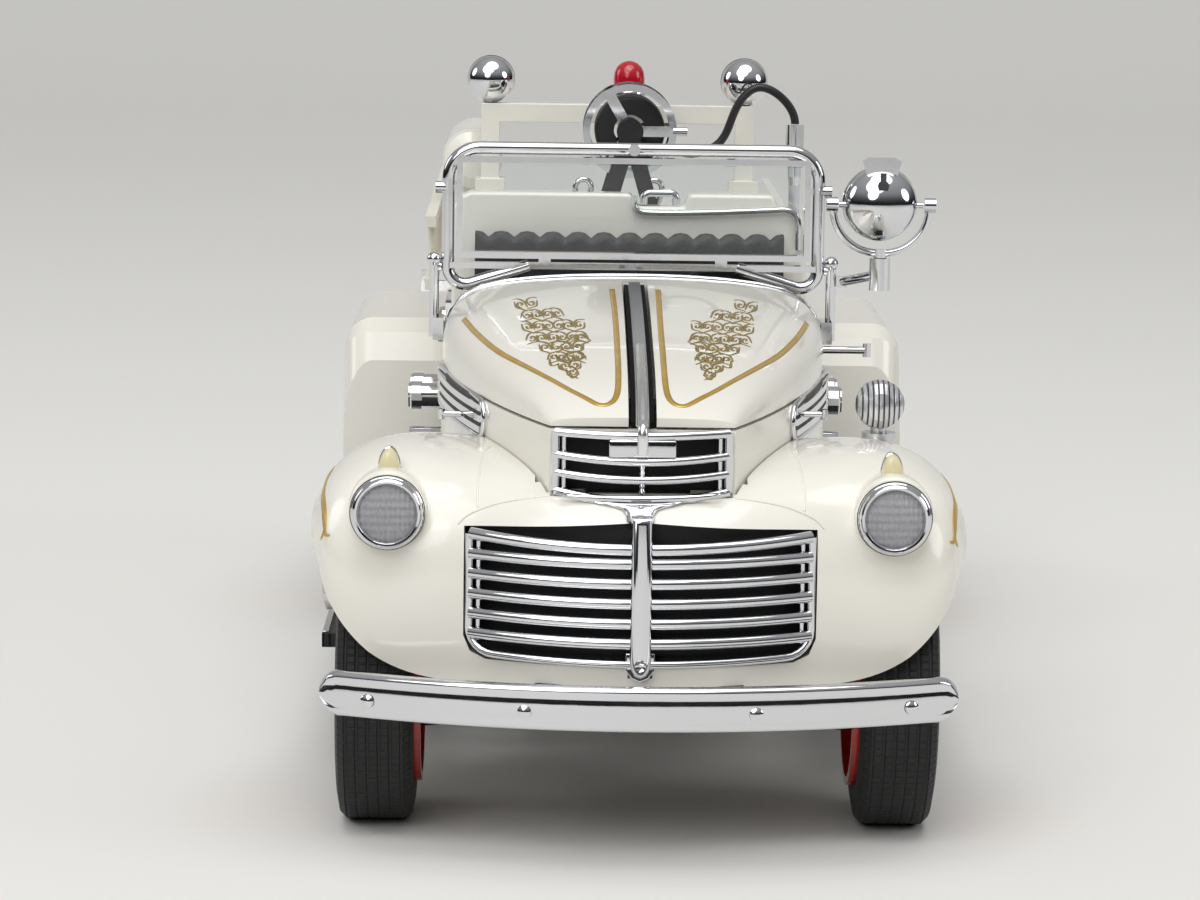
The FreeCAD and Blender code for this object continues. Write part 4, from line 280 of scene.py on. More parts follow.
# Bright parts. Zinc castings and wires plated with chrome, whose polish is faintly uneven and
# bends what they mirror; the windshield's posts are the boxy ones.
chrome = finish("chrome_plate", "dcdde0", 0.06, Metallic=1.0)
roughen(chrome, 0.04, 0.11, 0.25)
polish = node(chrome, "TexNoise", {"Scale": 0.35, "Detail": 2.0}, Vector=place_of(chrome))
relief(chrome, polish, 0.012)
dress("chrome", chrome)
softened("windshield_posts", 0.2, chrome, "chrome")

# Tyres. Moulded black rubber; each turns about its own axle, so its ribs are drawn from the place
# across it and cover only the tread, while the walls carry plain rings.
sides = (("left", 1), ("right", -1))
rib_pitch = 1.5
tread_cuts = 110
wall_ring_pitch = 2.2
front_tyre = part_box("front_tyre_left")
rear_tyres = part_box("rear_tyres_left")
front_middle = (front_tyre[0] + front_tyre[1]) / 2
rear_middle = (rear_tyres[0] + rear_tyres[1]) / 2
tyre_radius = (front_tyre[1].z - front_tyre[0].z) / 2 / MM


def tyre_finish(name, middle):
    """Black rubber with lengthwise ribs over the tread and fine cuts across them."""
    rubber = finish(name, "161617", 0.62)
    mottle(rubber, "19191a", "101011", 0.3)
    parts = node(rubber, "SeparateXYZ", Vector=place_of(rubber, (0, -middle.y / MM, -middle.z / MM)))
    across = node(rubber, "Math", {"operation": "ABSOLUTE"}, n0=parts.outputs["X"])
    aside = node(rubber, "Math", {"operation": "SUBTRACT", 1: middle.x / MM}, n0=across)
    rib_turns = node(rubber, "Math", {"operation": "MULTIPLY", 1: math.tau / rib_pitch}, n0=aside)
    ribs = node(rubber, "Math", {"operation": "COSINE"}, n0=rib_turns)
    flat_ribs = node(rubber, "MapRange", {"From Min": -0.9, "From Max": -0.35}, Value=ribs)
    angle = node(rubber, "Math", {"operation": "ARCTAN2"}, n0=parts.outputs["Y"], n1=parts.outputs["Z"])
    cut_turns = node(rubber, "Math", {"operation": "MULTIPLY", 1: tread_cuts}, n0=angle)
    cuts = node(rubber, "Math", {"operation": "COSINE"}, n0=cut_turns)
    soft_cuts = node(rubber, "MapRange", {"From Min": -1, "From Max": -0.5, "To Min": 0.55}, Value=cuts)
    tread = node(rubber, "Math", {"operation": "MULTIPLY"}, n0=flat_ribs, n1=soft_cuts)
    wheel_plane = node(rubber, "CombineXYZ", Y=parts.outputs["Y"], Z=parts.outputs["Z"])
    reach = node(rubber, "VectorMath", {"operation": "LENGTH"}, n0=wheel_plane).outputs["Value"]
    on_tread = node(rubber, "MapRange", {"From Min": tyre_radius - 1.0, "From Max": tyre_radius - 0.8},
                    Value=reach)
    ring_turns = node(rubber, "Math", {"operation": "MULTIPLY", 1: math.tau / wall_ring_pitch}, n0=reach)
    rings = node(rubber, "Math", {"operation": "SINE"}, n0=ring_turns)
    wall = node(rubber, "MapRange", {"From Min": 0.55, "From Max": 0.95, "To Max": 0.4}, Value=rings)
    height = node(rubber, "Mix", {"data_type": "FLOAT"}, n0=on_tread, n2=wall, n3=tread)
    relief(rubber, height, 0.6)
    return rubber


dress("tyre_rubber", tyre_finish("front_tyre_rubber", front_middle))
rear_rubber = tyre_finish("rear_tyre_rubber", rear_middle)
for side_name, side in sides:
    frame["nodes"][f"rear_tyres_{side_name}"].material_slots[0].material = rear_rubber

# Wheels. Cast discs in a glossy red, each held by six plated nuts round a turned cap with a plain
# domed middle.
wheel_red = finish("wheel_red", "b02318", 0.22, Coat_Weight=0.6, Coat_Roughness=0.05)
mottle(wheel_red, "b3241a", "a81f15", 0.1)
dress("red_wheel_paint", wheel_red)
cap_depth = 2.6
nut_count = 6
nut_reach = 7.2
nut_radius = 0.75
nut_depth = 1.1


def surface(name):
    """The outside of a solid, for laying things on."""
    shape = bmesh.new()
    shape.from_mesh(frame["nodes"][name].data)
    tree = BVHTree.FromBMesh(shape)
    shape.free()
    return tree


def lathe(name, outline, centre, axis=(0, 1, 0), material=chrome, slot="chrome", steps=64, body="body", **kept):
    """A turned piece, plated if nothing else is said: the outline gives radius and place along the
    axis, in millimetres."""
    shape = bmesh.new()
    axis = Vector(axis).normalized()
    out = axis.orthogonal().normalized()
    verts = [shape.verts.new(centre + (axis * along + out * radius) * MM) for radius, along in outline]
    edges = [shape.edges.new(pair) for pair in zip(verts, verts[1:])]
    bmesh.ops.spin(shape, geom=verts + edges, cent=centre, axis=axis, angle=math.tau, steps=steps,
                   use_merge=True)
    bmesh.ops.remove_doubles(shape, verts=shape.verts, dist=0.0005 * MM)
    bmesh.ops.recalc_face_normals(shape, faces=shape.faces)
    return keep(name, shape, material, body, slot=slot, **kept)


for end, tyre, middle in (("front", front_tyre, front_middle), ("rear", rear_tyres, rear_middle)):
    for side_name, side in sides:
        wheel_body = f"wheel_{end}_{side_name}"
        wheel_solid = f"{end}_wheel_{side_name}"
        cap_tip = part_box(wheel_solid)[1 if side > 0 else 0].x
        cap = [(3.6, -0.4), (3.7, 0.3), (3.3, 0.9), (2.6, 1.2), (2.5, 1.7), (1.8, 2.3), (0, cap_depth + 0.02)]
        cap_place = Vector((cap_tip - side * cap_depth * MM, middle.y, middle.z))
        lathe(f"{wheel_body}_cap", cap, cap_place, (side, 0, 0), body=wheel_body, steps=48)
        disc_surface = surface(wheel_solid)
        nuts = bmesh.new()
        for nut in range(nut_count):
            angle = math.tau * nut / nut_count
            way = Vector((0, math.cos(angle), math.sin(angle)))
            outside = Vector((side * (tyre[1].x + 10 * MM), middle.y, middle.z)) + way * nut_reach * MM
            hit = disc_surface.ray_cast(outside, Vector((-side, 0, 0)))[0]
            if hit:
                turn = Matrix.Translation(hit) @ Matrix.Rotation(math.radians(90), 4, "Y")
                bmesh.ops.create_cone(nuts, cap_ends=True, segments=6, radius1=nut_radius * MM,
                                      radius2=(nut_radius - 0.05) * MM, depth=nut_depth * MM, matrix=turn)
        keep(f"{wheel_body}_nuts", nuts, chrome, wheel_body, slot="chrome", corner=25)

# Body castings. The nose with its fenders, the hood, cowl, cab and hose body are cast in metal and
# sprayed a warm white enamel, whose deep gloss shows the slight unevenness of a sprayed coat.
ivory = finish("ivory_enamel", "efece2", 0.2, Coat_Weight=0.55, Coat_Roughness=0.03)
mottle(ivory, "f0ede4", "ebe8dd", 0.05)
sprayed_coat = node(ivory, "TexNoise", {"Scale": 0.9, "Detail": 2.0}, Vector=place_of(ivory))
relief(ivory, sprayed_coat, 0.004)
dress("ivory_paint", ivory)
softened("bulkhead", 0.7, ivory, "ivory_paint", segments=3)
for name, width in (("gantry", 0.35), ("hose_body", 0.45), ("cab_floor", 0.25)):
    softened(name, width, ivory, "ivory_paint")

# Black mouldings. The dashboard, the tail step and the small dark parts are moulded in a matt black
# plastic with a fine grain.
matt_black = finish("matt_black", "1a1a1b", 0.6)
roughen(matt_black, 0.5, 0.7, 0.5)
skin = node(matt_black, "TexNoise", {"Scale": 3.0, "Detail": 3.0}, Vector=place_of(matt_black))
relief(matt_black, skin, 0.02)
dress("black_plastic", matt_black)
softened("dashboard", 0.2, matt_black, "black_plastic")
softened("tail_step", 0.4, matt_black, "black_plastic")

# Hood channel. A trough lies between the hood's halves, with a bright ridge along its middle; the trough's
# near-black colour is painted shade of the narrow channel, and the two finishes meet at the ridge's edges.
ridge_half = 0.87
channel = finish("channel_and_spear", "dcdde0", 0.08, Specular_IOR_Level=0.15)
beside = node(channel, "Math", {"operation": "ABSOLUTE"},
              n0=node(channel, "SeparateXYZ", Vector=place_of(channel)).outputs["X"])
is_ridge = node(channel, "Math", {"operation": "LESS_THAN", 1: ridge_half}, n0=beside)
# The trough is coloured near black as painted shade; the ridge keeps the plating's colour.
painted_shade_trough_or_ridge = node(channel, "Mix", {"data_type": "RGBA", 6: "0d0d0e", 7: "dcdde0"}, n0=is_ridge)
channel_gloss = node(channel, "MapRange", {"To Min": 0.75, "To Max": 0.3}, Value=is_ridge)
feed(channel, "Base Color", painted_shade_trough_or_ridge.outputs[2])
feed(channel, "Metallic", is_ridge.outputs[0])
feed(channel, "Roughness", channel_gloss.outputs[0])
frame["nodes"]["hood_spine"].material_slots[0].material = channel

# Hood lines. A gold line is drawn on each half of the hood, down beside the channel, round the
# front corner and back along the lower edge, as a film of paint a hair thicker than the enamel.
line_width = 0.82 * MM
line_lift = 0.05 * MM
paint_film = 0.04 * MM
photo_wide = 1200
photo_tall = 900
gold = finish("gold_line", "d0ac4e", 0.28, Metallic=0.5)
mottle(gold, "deba5e", "b8923c", 0.4)


def seen_way(across, down):
    """The way from the camera through a pixel of the photograph."""
    focal = camera_data.lens / camera_data.sensor_width * photo_wide
    beside = (across - photo_wide / 2) / focal
    above = (photo_tall / 2 - down) / focal
    return camera_turn.to_3x3() @ Vector((beside, above, -1))


def seen_at(tree, across, down):
    """The place on a surface that the photograph shows at a pixel."""
    return tree.ray_cast(camera_place, seen_way(across, down).normalized())[0]


def seen_line(tree, pixels):
    """The places on a surface that a line of pixels shows."""
    places = [seen_at(tree, *pixel) for pixel in pixels]
    return [place for place in places if place]


def through(points, steps=8):
    """More points on a smooth line through a few."""
    line = []
    padded = [points[0], *points, points[-1]]
    for before, start, end, after in zip(padded, padded[1:], padded[2:], padded[3:]):
        for step in range(steps):
            share = step / steps
            line.append(0.5 * (2 * start + (end - before) * share
                               + (2 * before - 5 * start + 4 * end - after) * share ** 2
                               + (3 * start - before - 3 * end + after) * share ** 3))
    line.append(points[-1])
    return line


def mirrored_line(line):
    """The same line on the vehicle's other side."""
    return [Vector((-point.x, point.y, point.z)) for point in line]


def lay_strip(shape, tree, line, width_at, lift=line_lift):
    """Adds one strip along a line, held on the surface, with a width at each share of its length."""
    last = None
    count = len(line) - 1
    for index, point in enumerate(line):
        place, normal = tree.find_nearest(point)[:2]
        if place is None:
            continue
        ahead = line[min(index + 1, count)] - line[max(index - 1, 0)]
        beside_way = ahead.cross(normal).normalized()
        half_width = width_at(index / count) / 2
        pair = []
        for side in (-1, 1):
            edge_place, edge_normal = tree.find_nearest(place + beside_way * half_width * side)[:2]
            pair.append(shape.verts.new(edge_place + edge_normal * lift))
        if last:
            shape.faces.new((last[0], last[1], pair[1], pair[0]))
        last = pair


def paint(name, shape, material, body="body"):
    """Turns laid strips into a thin film of paint."""
    bmesh.ops.recalc_face_normals(shape, faces=shape.faces)
    film = keep(name, shape, material, body, slot="ivory_paint").modifiers.new("paint_film", "SOLIDIFY")
    film.thickness = paint_film


def even_line(share):
    """The width of a plain line, the same all along."""
    return line_width


hood_surfaces = {side_name: surface(f"hood_{side_name}") for side_name, side in sides}
hood_line_seen = [(658, 290), (660, 320), (662.5, 350), (664.5, 375), (667, 393), (673, 403), (685, 406),
                  (700, 399), (722, 387.5), (750, 372), (778, 356), (797, 338), (807, 323)]
hood_line = through(seen_line(hood_surfaces["left"], hood_line_seen), 10)
for side_name, side in sides:
    hood_strip = bmesh.new()
    line = hood_line if side > 0 else mirrored_line(hood_line)
    lay_strip(hood_strip, hood_surfaces[side_name], line, even_line)
    paint(f"hood_gold_{side_name}", hood_strip, gold, f"hood_{side_name}")

# Hood scrollwork. A plume of small curls and leaves in a darker gold widens from its outer rear end
# and narrows to a tip in front. It is drawn as it is seen, row by row, then thrown on to the hood.
scroll_gold = finish("scroll_gold", "9c8444", 0.32, Metallic=0.4)
mottle(scroll_gold, "b2944a", "7c6c3a", 0.35)
loop_stroke = 0.4
curl_stroke = 0.38
leaf_stroke = 0.34
curl_pitch = 9.6
curl_radius = 3.9
curl_turns = 1.05
# Each row of curls runs from its inner to its outer end.
scroll_rows = [
    ((735, 304.5), (757, 308.5)), ((712, 315), (752, 319)), ((692, 326), (753, 330)),
    ((691, 338), (750, 341)), ((696, 348), (739, 350)), ((697, 358), (731, 360)),
    ((701, 366), (723, 368.5)), ((705, 373), (715, 374.5)),
]
# Pointed loops close the rows at their inner ends, and the tip ends in two short leaves.
scroll_ends = [
    [(688, 342), (700, 336.5), (722, 351)], [(688, 342), (703, 348), (722, 351)],
    [(695, 358), (705, 353.5), (719, 361)], [(695, 358), (706, 363), (719, 361)],
    [(704, 375), (710, 380), (713, 376)], [(722, 366), (730, 368), (731, 361)],
]


def curl(across, down, start, way):
    """A curl that winds out of its eye, as pixels of the photograph."""
    count = int(14 * curl_turns)
    line = []
    for share in (index / count for index in range(count + 1)):
        angle = start + way * share * curl_turns * math.tau
        reach = curl_radius * (0.22 + 0.78 * share)
        line.append((across + math.cos(angle) * reach, down + math.sin(angle) * reach * 0.85))
    return line


def thrown(pixels):
    """The places on the hood's left half that a line of pixels shows."""
    points = [Vector((*pixel, 0)) for pixel in pixels]
    smooth = through(points, 4) if len(points) < 12 else points
    return seen_line(hood_surfaces["left"], [(point.x, point.y) for point in smooth])


strokes = []
for row, (inner, outer) in enumerate(scroll_rows):
    span = outer[0] - inner[0]
    count = max(1, round(span / curl_pitch))
    for index in range(count):
        spot = (index + 0.5) / count
        across = inner[0] + span * spot
        down = inner[1] + (outer[1] - inner[1]) * spot
        way = 1 if (index + row) % 2 else -1
        start = math.pi * (0.45 * index + 0.7 * row)
        strokes.append((curl(across, down, start, way), curl_stroke))
        for leaf in (((-6.4, 2.4), (-3.4, -3.4), (1.6, -5.4), (6.4, -5.0)),
                     ((5.6, -2.4), (4.6, 2.8), (-0.6, 4.6), (-5.4, 6.4))):
            strokes.append(([(across + beside * way, down + below) for beside, below in leaf], leaf_stroke))
strokes += [(pixels, loop_stroke) for pixels in scroll_ends]
thrown_strokes = [(thrown(pixels), thick) for pixels, thick in strokes]
for side_name, side in sides:
    scrolls = bmesh.new()
    for line, thick in thrown_strokes:
        if len(line) > 2:
            lay_strip(scrolls, hood_surfaces[side_name], line if side > 0 else mirrored_line(line),
                      lambda share: MM * thick * (0.3 + 0.7 * math.sin(math.pi * (0.1 + 0.8 * share))))
    paint(f"hood_scroll_{side_name}", scrolls, scroll_gold, f"hood_{side_name}")

# Fender lines. A gold line runs over each front fender's outer crown and ends in a small fork near
# the front; behind what the photograph shows, it is carried on over the crown.
nose_surface = surface("nose_fenders")
crown_line = seen_line(nose_surface, [(325.5, 533), (324.0, 508), (324.3, 487), (327.5, 469), (337, 455)])
crown_x = abs(crown_line[-1].x)
for back, shift in ((36.0, 0.6), (44.0, 0.4), (52.0, -0.3), (60.0, -1.0)):
    above = Vector((-crown_x + shift * MM, front_edge + back * MM, 60 * MM))
    hit = nose_surface.ray_cast(above, Vector((0, 0, -1)))[0]
    if hit:
        crown_line.append(hit)
crown_line = through(crown_line, 10)
fender_lines = bmesh.new()
for line in (crown_line, mirrored_line(crown_line)):
    lay_strip(fender_lines, nose_surface, line, lambda share: line_width * min(1.5, 0.6 + share * 8))
    fork_start = line[2]
    for way in (-1, 1):
        fork = [fork_start, fork_start + Vector((way * 0.8, 0, -0.8)) * MM,
                fork_start + Vector((way * 2.3, 0, -1.1)) * MM]
        lay_strip(fender_lines, nose_surface, through(fork, 4),
                  lambda share: line_width * (0.9 - 0.55 * share))
paint("fender_gold", fender_lines, gold)

# Side lines. Each side of the hose body carries a gold frame, and each rear fender a line that
# follows the wheel's arch.
body_surface = surface("hose_body")
fender_surface = surface("rear_fenders")
body_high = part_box("hose_body")[1]
rear_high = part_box("rear_fenders")[1]
frame_inset = 2.4 * MM
frame_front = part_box("pump_panels")[1].y + frame_inset
frame_rear = body_high.y - frame_inset
frame_low = rear_high.z + frame_inset
frame_top = body_high.z - frame_inset
arch_reach = 24.5 * MM
side_lines = bmesh.new()
for side in (-1, 1):
    corners = [Vector((body_high.x * side, y, z)) for y, z in (
        (frame_front, frame_low), (frame_rear, frame_low), (frame_rear, frame_top), (frame_front, frame_top))]
    for start, end in zip(corners, corners[1:] + corners[:1]):
        lay_strip(side_lines, body_surface, [start.lerp(end, step / 12) for step in range(13)], even_line)
    arch = []
    for step in range(15):
        angle = math.pi * (0.10 + 0.80 * step / 14)
        arch.append(Vector((rear_high.x * side, rear_middle.y - math.cos(angle) * arch_reach,
                            rear_middle.z + math.sin(angle) * arch_reach)))
    lay_strip(side_lines, fender_surface, through(arch, 3), even_line)
paint("side_gold", side_lines, gold)


# Lower grille. Seven plated bars are cast with their frame and sit in the dark opening of the nose;
# they bow forwards and hang a little at the middle, where one upright bar covers their joint.
def add_rod(shape, points, radius):
    """Adds a round rod along points to a mesh."""
    data = bpy.data.curves.new("rod_path", "CURVE")
    data.dimensions = "3D"
    data.bevel_depth = radius * MM
    data.bevel_resolution = 4
    data.use_fill_caps = True
    spline = data.splines.new("POLY")
    spline.points.add(len(points) - 1)
    for spot, point in zip(spline.points, points):
        spot.co = (*point, 1)
    path = bpy.data.objects.new("rod_path", data)
    shape.from_mesh(bpy.data.meshes.new_from_object(path))
    bpy.data.objects.remove(path)


def rods(name, lines, material=chrome, corner=60, slot="chrome", replaces=()):
    """A piece of round rods, each given by its points and its radius in millimetres."""
    shape = bmesh.new()
    for points, radius in lines:
        add_rod(shape, points, radius)
    keep(name, shape, material, "body", corner, replaces, slot)


def bowed_sheet(front, half, bow):
    """Gives places on an upright sheet that bows forwards, from width and height in millimetres."""
    radius = (half ** 2 + bow ** 2) / (2 * bow)
    return lambda x, z: Vector((x * MM, front + (radius - math.sqrt(radius ** 2 - x ** 2)) * MM, z * MM))


def rail(sheet, half, height, droop, radius):
    """A bar across a bowed sheet, lower by its droop at the middle."""
    steps = 24
    places = [half * (2 * step / steps - 1) for step in range(steps + 1)]
    return [sheet(x, height - droop * (1 - (x / half) ** 2)) for x in places], radius


grille_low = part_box("lower_grille")[0]
grille_half = 23.2
bar_radius = 0.82
bar_count = 7
centre_bar_proud = 1.6
grille_front = grille_low.y + (centre_bar_proud + bar_radius) * MM
grille_bottom = 26.6 + bar_radius
grille_top = 44.0 - bar_radius
bar_pitch = (grille_top - grille_bottom) / (bar_count - 1)
grille_sheet = bowed_sheet(grille_front, grille_half, 6.0)
grille_rods = [rail(grille_sheet, grille_half - 0.9, grille_bottom + bar * bar_pitch,
                    1.1 if bar == bar_count - 1 else 0.35, bar_radius) for bar in range(1, bar_count)]
corner_radius = 3.4
side_x = grille_half - 0.7
frame_line = [grille_sheet(-side_x, grille_top - share * 2.0) for share in (0.0, 0.5, 2.0, 4.0, 5.6)]
for angle in (math.pi / 2 * step / 6 for step in range(7)):
    frame_line.append(grille_sheet(-side_x + corner_radius * (1 - math.cos(angle)),
                                   grille_bottom + corner_radius * (1 - math.sin(angle))))
floor_half = side_x - corner_radius
for share in (1 - step / 12 for step in range(1, 12)):
    frame_line.append(grille_sheet(-floor_half * share, grille_bottom - 0.45 * (1 - share ** 2)))
grille_rods.append((frame_line + mirrored_line(reversed(frame_line)), 0.55))
inner_low = grille_bottom + corner_radius * 0.5
inner_set_back = Vector((0, 0.5 * MM, 0))
for side in (-1, 1):
    grille_rods.append(([grille_sheet(side * (side_x - 1.25), inner_low + rise) + inner_set_back
                         for rise in (0.0, 7.0, 14.0)], 0.34))
rods("lower_grille_dressed", grille_rods, corner=50, replaces=("lower_grille",))


# Centre bar. It is cast round in front, with a pointed shoe and a small boss at its foot, and widens
# at its head into the upper grille's lowest rail.
def cast_forwards(name, outline, back, thick, rounding, segments):
    """A plated casting with an outline in width and height, and rounded edges in front."""
    shape = bmesh.new()
    back_face = shape.faces.new([shape.verts.new((x * MM, back, z * MM)) for x, z in outline])
    front = new_verts(bmesh.ops.extrude_face_region(shape, geom=[back_face]))
    bmesh.ops.translate(shape, vec=(0, -thick, 0), verts=front)
    rim = [edge for edge in shape.edges if all(vert in front for vert in edge.verts)]
    round_edges(shape, rim, rounding * MM, segments)
    bmesh.ops.recalc_face_normals(shape, faces=shape.faces)
    keep(name, shape, chrome, "body", 40, slot="chrome")


bar_half = 1.4
bar_foot = grille_low.z / MM
bar_head = 46.6
bar_back = grille_front + 0.9 * MM
bar_outline = [(0.0, bar_foot), (0.75, bar_foot + 0.35), (1.2, bar_foot + 1.2), (bar_half, bar_foot + 2.2),
               (bar_half, bar_foot + 10.0), (bar_half, bar_head)]
bar_outline += [(-x, z) for x, z in reversed(bar_outline[1:])]
cast_forwards("centre_bar", bar_outline, bar_back, bar_back - grille_low.y - 0.1 * MM, 0.95, 5)
foot_half = 1.95
foot_outline = [(-foot_half, bar_foot + 3.2), (-foot_half, bar_foot + 0.9),
                (-foot_half * 0.6, bar_foot - 0.2), (0, bar_foot - 0.75)]
foot_outline += [(-x, z) for x, z in reversed(foot_outline[:-1])]
before_foot = Vector((foot_half * 1.8 * MM, grille_low.y - 5 * MM, bar_foot * MM))
beside_foot = nose_surface.ray_cast(before_foot, Vector((0, 1, 0)))[0]
cast_forwards("centre_bar_shoe", foot_outline, beside_foot.y + 0.4 * MM, 0.75 * MM, 0.25, 3)
boss = [(0.78, 0.0), (0.72, -0.16), (0.5, -0.05), (0, 0.1)]
lathe("centre_bar_boss", boss, Vector((0, grille_low.y + 0.05 * MM, (bar_foot + 1.9) * MM)), steps=32)

# The flare at its head is drawn as it is seen, from its left to its right edge in each row.
flare_seen = [((628, 532), (652, 532)), ((627.5, 521), (652.5, 521)), ((626.5, 514), (654, 514)),
              ((623.5, 509.5), (657.5, 509.5)), ((616, 506.5), (666, 506.5)), ((602, 504), (681, 504)),
              ((586, 501), (697, 501)), ((568, 497), (714, 497)), ((556, 492.5), (727, 492.5))]
flare_steps = 12
crest_low, crest_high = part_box("upper_grille")


def at_depth(across, down, depth):
    """The place at a given depth along the vehicle that the photograph shows at a pixel."""
    way = seen_way(across, down)
    return camera_place + way * ((depth - camera_place.y) / way.y)


flare = bmesh.new()
flare_rows = []
for (left_x, down), (right_x, _) in flare_seen:
    beside_slot = seen_line(nose_surface, [(left_x - 5, down), (right_x + 5, down)])
    depth = min([point.y for point in beside_slot] or [grille_low.y])
    depth = min(max(depth, grille_low.y + 0.35 * MM), crest_low.y + 0.4 * MM)
    row = []
    for share in (step / flare_steps for step in range(flare_steps + 1)):
        crown = math.sin(math.pi * share) ** 0.6
        sag = 4.0 * crown * (right_x - left_x) / 175
        place = at_depth(left_x + (right_x - left_x) * share, down + sag, depth - (0.2 + 0.5 * crown) * MM)
        row.append(flare.verts.new(place))
    flare_rows.append(row)
for upper, lower in zip(flare_rows, flare_rows[1:]):
    for step in range(flare_steps):
        flare.faces.new((upper[step], upper[step + 1], lower[step + 1], lower[step]))
bmesh.ops.recalc_face_normals(flare, faces=flare.faces)
flare_piece = keep("centre_bar_flare", flare, chrome, "body", 60, slot="chrome")
flare_wall = flare_piece.modifiers.new("cast_wall", "SOLIDIFY")
flare_wall.thickness = 0.5 * MM
flare_wall.offset = 0.0

# Nose seams. The nose is cast in one with the fenders; fine raised seams show where the real
# engine's panels meet.
seam_rods = []
for seam_seen in ([(490, 446), (484, 453), (480, 470), (477.5, 490), (478, 507)],
                  [(458, 524), (466, 516), (478, 510), (497, 503.5), (522, 499), (548, 496)]):
    seam = through(seen_line(nose_surface, seam_seen), 6)
    seam_rods += [(seam, 0.17), (mirrored_line(seam), 0.17)]
rods("nose_seams", seam_rods, ivory, slot="ivory_paint")

# Upper grille. Four plated rails and two posts make its frame; a blank badge plate sits between the
# upper two, and two small turned ornaments stand at the middle of the lower gaps.
crest_half = 11.4
crest_bow = 1.6
crest_front = crest_low.y + 0.55 * MM
crest_top = crest_high.z / MM + 0.55
crest_span = crest_top - crest_low.z / MM - 0.35
crest_sheet = bowed_sheet(crest_front, crest_half, crest_bow)
crest_post_sheet = bowed_sheet(crest_front, crest_half + 0.01, crest_bow)
crest_rails = ((0.0, 0.3, 0.62), (0.38, 0.75, 0.6), (0.69, 0.75, 0.6), (1.0, 1.3, 0.66))
crest_rods = [rail(crest_sheet, crest_half, crest_top - crest_span * share, droop, radius)
              for share, droop, radius in crest_rails]
for side in (-1, 1):
    for inset, radius in ((0.0, 0.6), (1.15, 0.34)):
        post_x = side * (crest_half - inset)
        post_set_back = Vector((0, inset * 0.5 * MM, 0))
        crest_rods.append(([crest_post_sheet(post_x, crest_top - crest_span * share) + post_set_back
                            for share in (0.0, 0.5, 1.0)], radius))
rods("upper_grille_dressed", crest_rods, corner=50, replaces=("upper_grille",))


def add_block(shape, middle, size, turn=Matrix()):
    """Adds a box round a place to a mesh, with its size in millimetres."""
    bmesh.ops.create_cube(shape, size=1.0, matrix=Matrix.Translation(middle) @ turn
                          @ Matrix.Diagonal([length * MM for length in size] + [1]))


badge = bmesh.new()
badge_z = crest_top - crest_span * 0.19 - 0.42
add_block(badge, (0, crest_front - 0.1 * MM, badge_z * MM), (8.8, 0.9, 2.3))
round_edges(badge, badge.edges, 0.25 * MM, 3)
keep("badge_plate", badge, chrome, "body", 40, slot="chrome")
ornament = [(0, -0.95), (0.28, -0.8), (0.42, -0.35), (0.3, 0.0), (0.42, 0.35), (0.28, 0.8), (0, 0.95)]
for index, share in enumerate((0.535, 0.845)):
    ornament_place = Vector((0, crest_front, (crest_top - crest_span * share - 0.65) * MM))
    lathe(f"grille_ornament_{index}", ornament, ornament_place, (0, 0, 1), steps=16)

# Spear. A slim rounded blade lies along the channel's front half and runs down over the badge.
# It is plated like the grille, but rubbed duller by handling.
spear_plate = finish("spear_plate", "ebebec", 0.24, Metallic=1.0)
roughen(spear_plate, 0.18, 0.3, 0.4)
spear_line = [Vector((0, point.y, point.z + 0.25 * MM)) for point in seen_line(
    surface("hood_spine"), [(639.5, 350), (641, 362), (642, 380), (643, 400), (644, 418)])]
spear_line += [spear_line[-1] + Vector((0, -1.6, -0.9)) * MM,
               Vector((0, crest_front - 1.0 * MM, (crest_top + 0.4) * MM)),
               Vector((0, crest_front - 0.75 * MM, (badge_z - 0.6) * MM))]
rods("spear_blade", [(through(spear_line, 5), 0.74)], spear_plate)

# Bumper. A pressed bar with a crowned face and rolled edges, bowed and rounded off at both ends,
# and plated. Four small round bolt heads hold it to its brackets and end stays.
bumper_low, bumper_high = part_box("front_bumper")
bumper_half = bumper_high.x / MM
bumper_bow = 10.3
bumper_radius = (bumper_half ** 2 + bumper_bow ** 2) / (2 * bumper_bow)
bumper_middle = (bumper_low.z + bumper_high.z) / 2
bumper_tall = (bumper_high.z - bumper_low.z) / 2
bumper_centre = Vector((0, bumper_low.y + bumper_radius * MM, 0))
bumper_turn = math.asin(bumper_half / bumper_radius)
bumper_end_round = 2.6
# The section from the upper rolled edge over the face, as depth and share of the half height; the
# lower half and the hollow back follow.
face_section = [(2.5, 0.93), (1.5, 1.0), (0.9, 0.99), (0.35, 0.90), (0.12, 0.76), (0.28, 0.62), (0.12, 0.36),
                (0.0, 0.0)]
section = face_section + [(depth, -share) for depth, share in reversed(face_section[:-1])]
section += [(depth + 0.7, share * 0.8) for depth, share in ((1.8, -1.0), (0.6, -0.9), (0.6, 0.9), (1.8, 1.0))]
bar = bmesh.new()
start_turn = Matrix.Rotation(-bumper_turn, 4, "Z")
verts = []
for depth, share in section:
    spoke = start_turn @ Vector((0, -(bumper_radius - depth) * MM, 0))
    verts.append(bar.verts.new(bumper_centre + spoke + Vector((0, 0, bumper_middle + share * bumper_tall))))
edges = [bar.edges.new(pair) for pair in zip(verts, verts[1:] + verts[:1])]
bmesh.ops.spin(bar, geom=verts + edges, cent=bumper_centre, axis=(0, 0, 1), angle=2 * bumper_turn, steps=72)
for vertex in bar.verts:
    beyond = (abs(vertex.co.x) / MM - (bumper_half - bumper_end_round)) / bumper_end_round
    if beyond > 0:
        fall = math.sqrt(max(0.0, 1 - min(1.0, beyond) ** 2))
        vertex.co.z = bumper_middle + (vertex.co.z - bumper_middle) * max(0.08, fall)
bmesh.ops.holes_fill(bar, edges=[edge for edge in bar.edges if edge.is_boundary], sides=0)
bmesh.ops.recalc_face_normals(bar, faces=bar.faces)
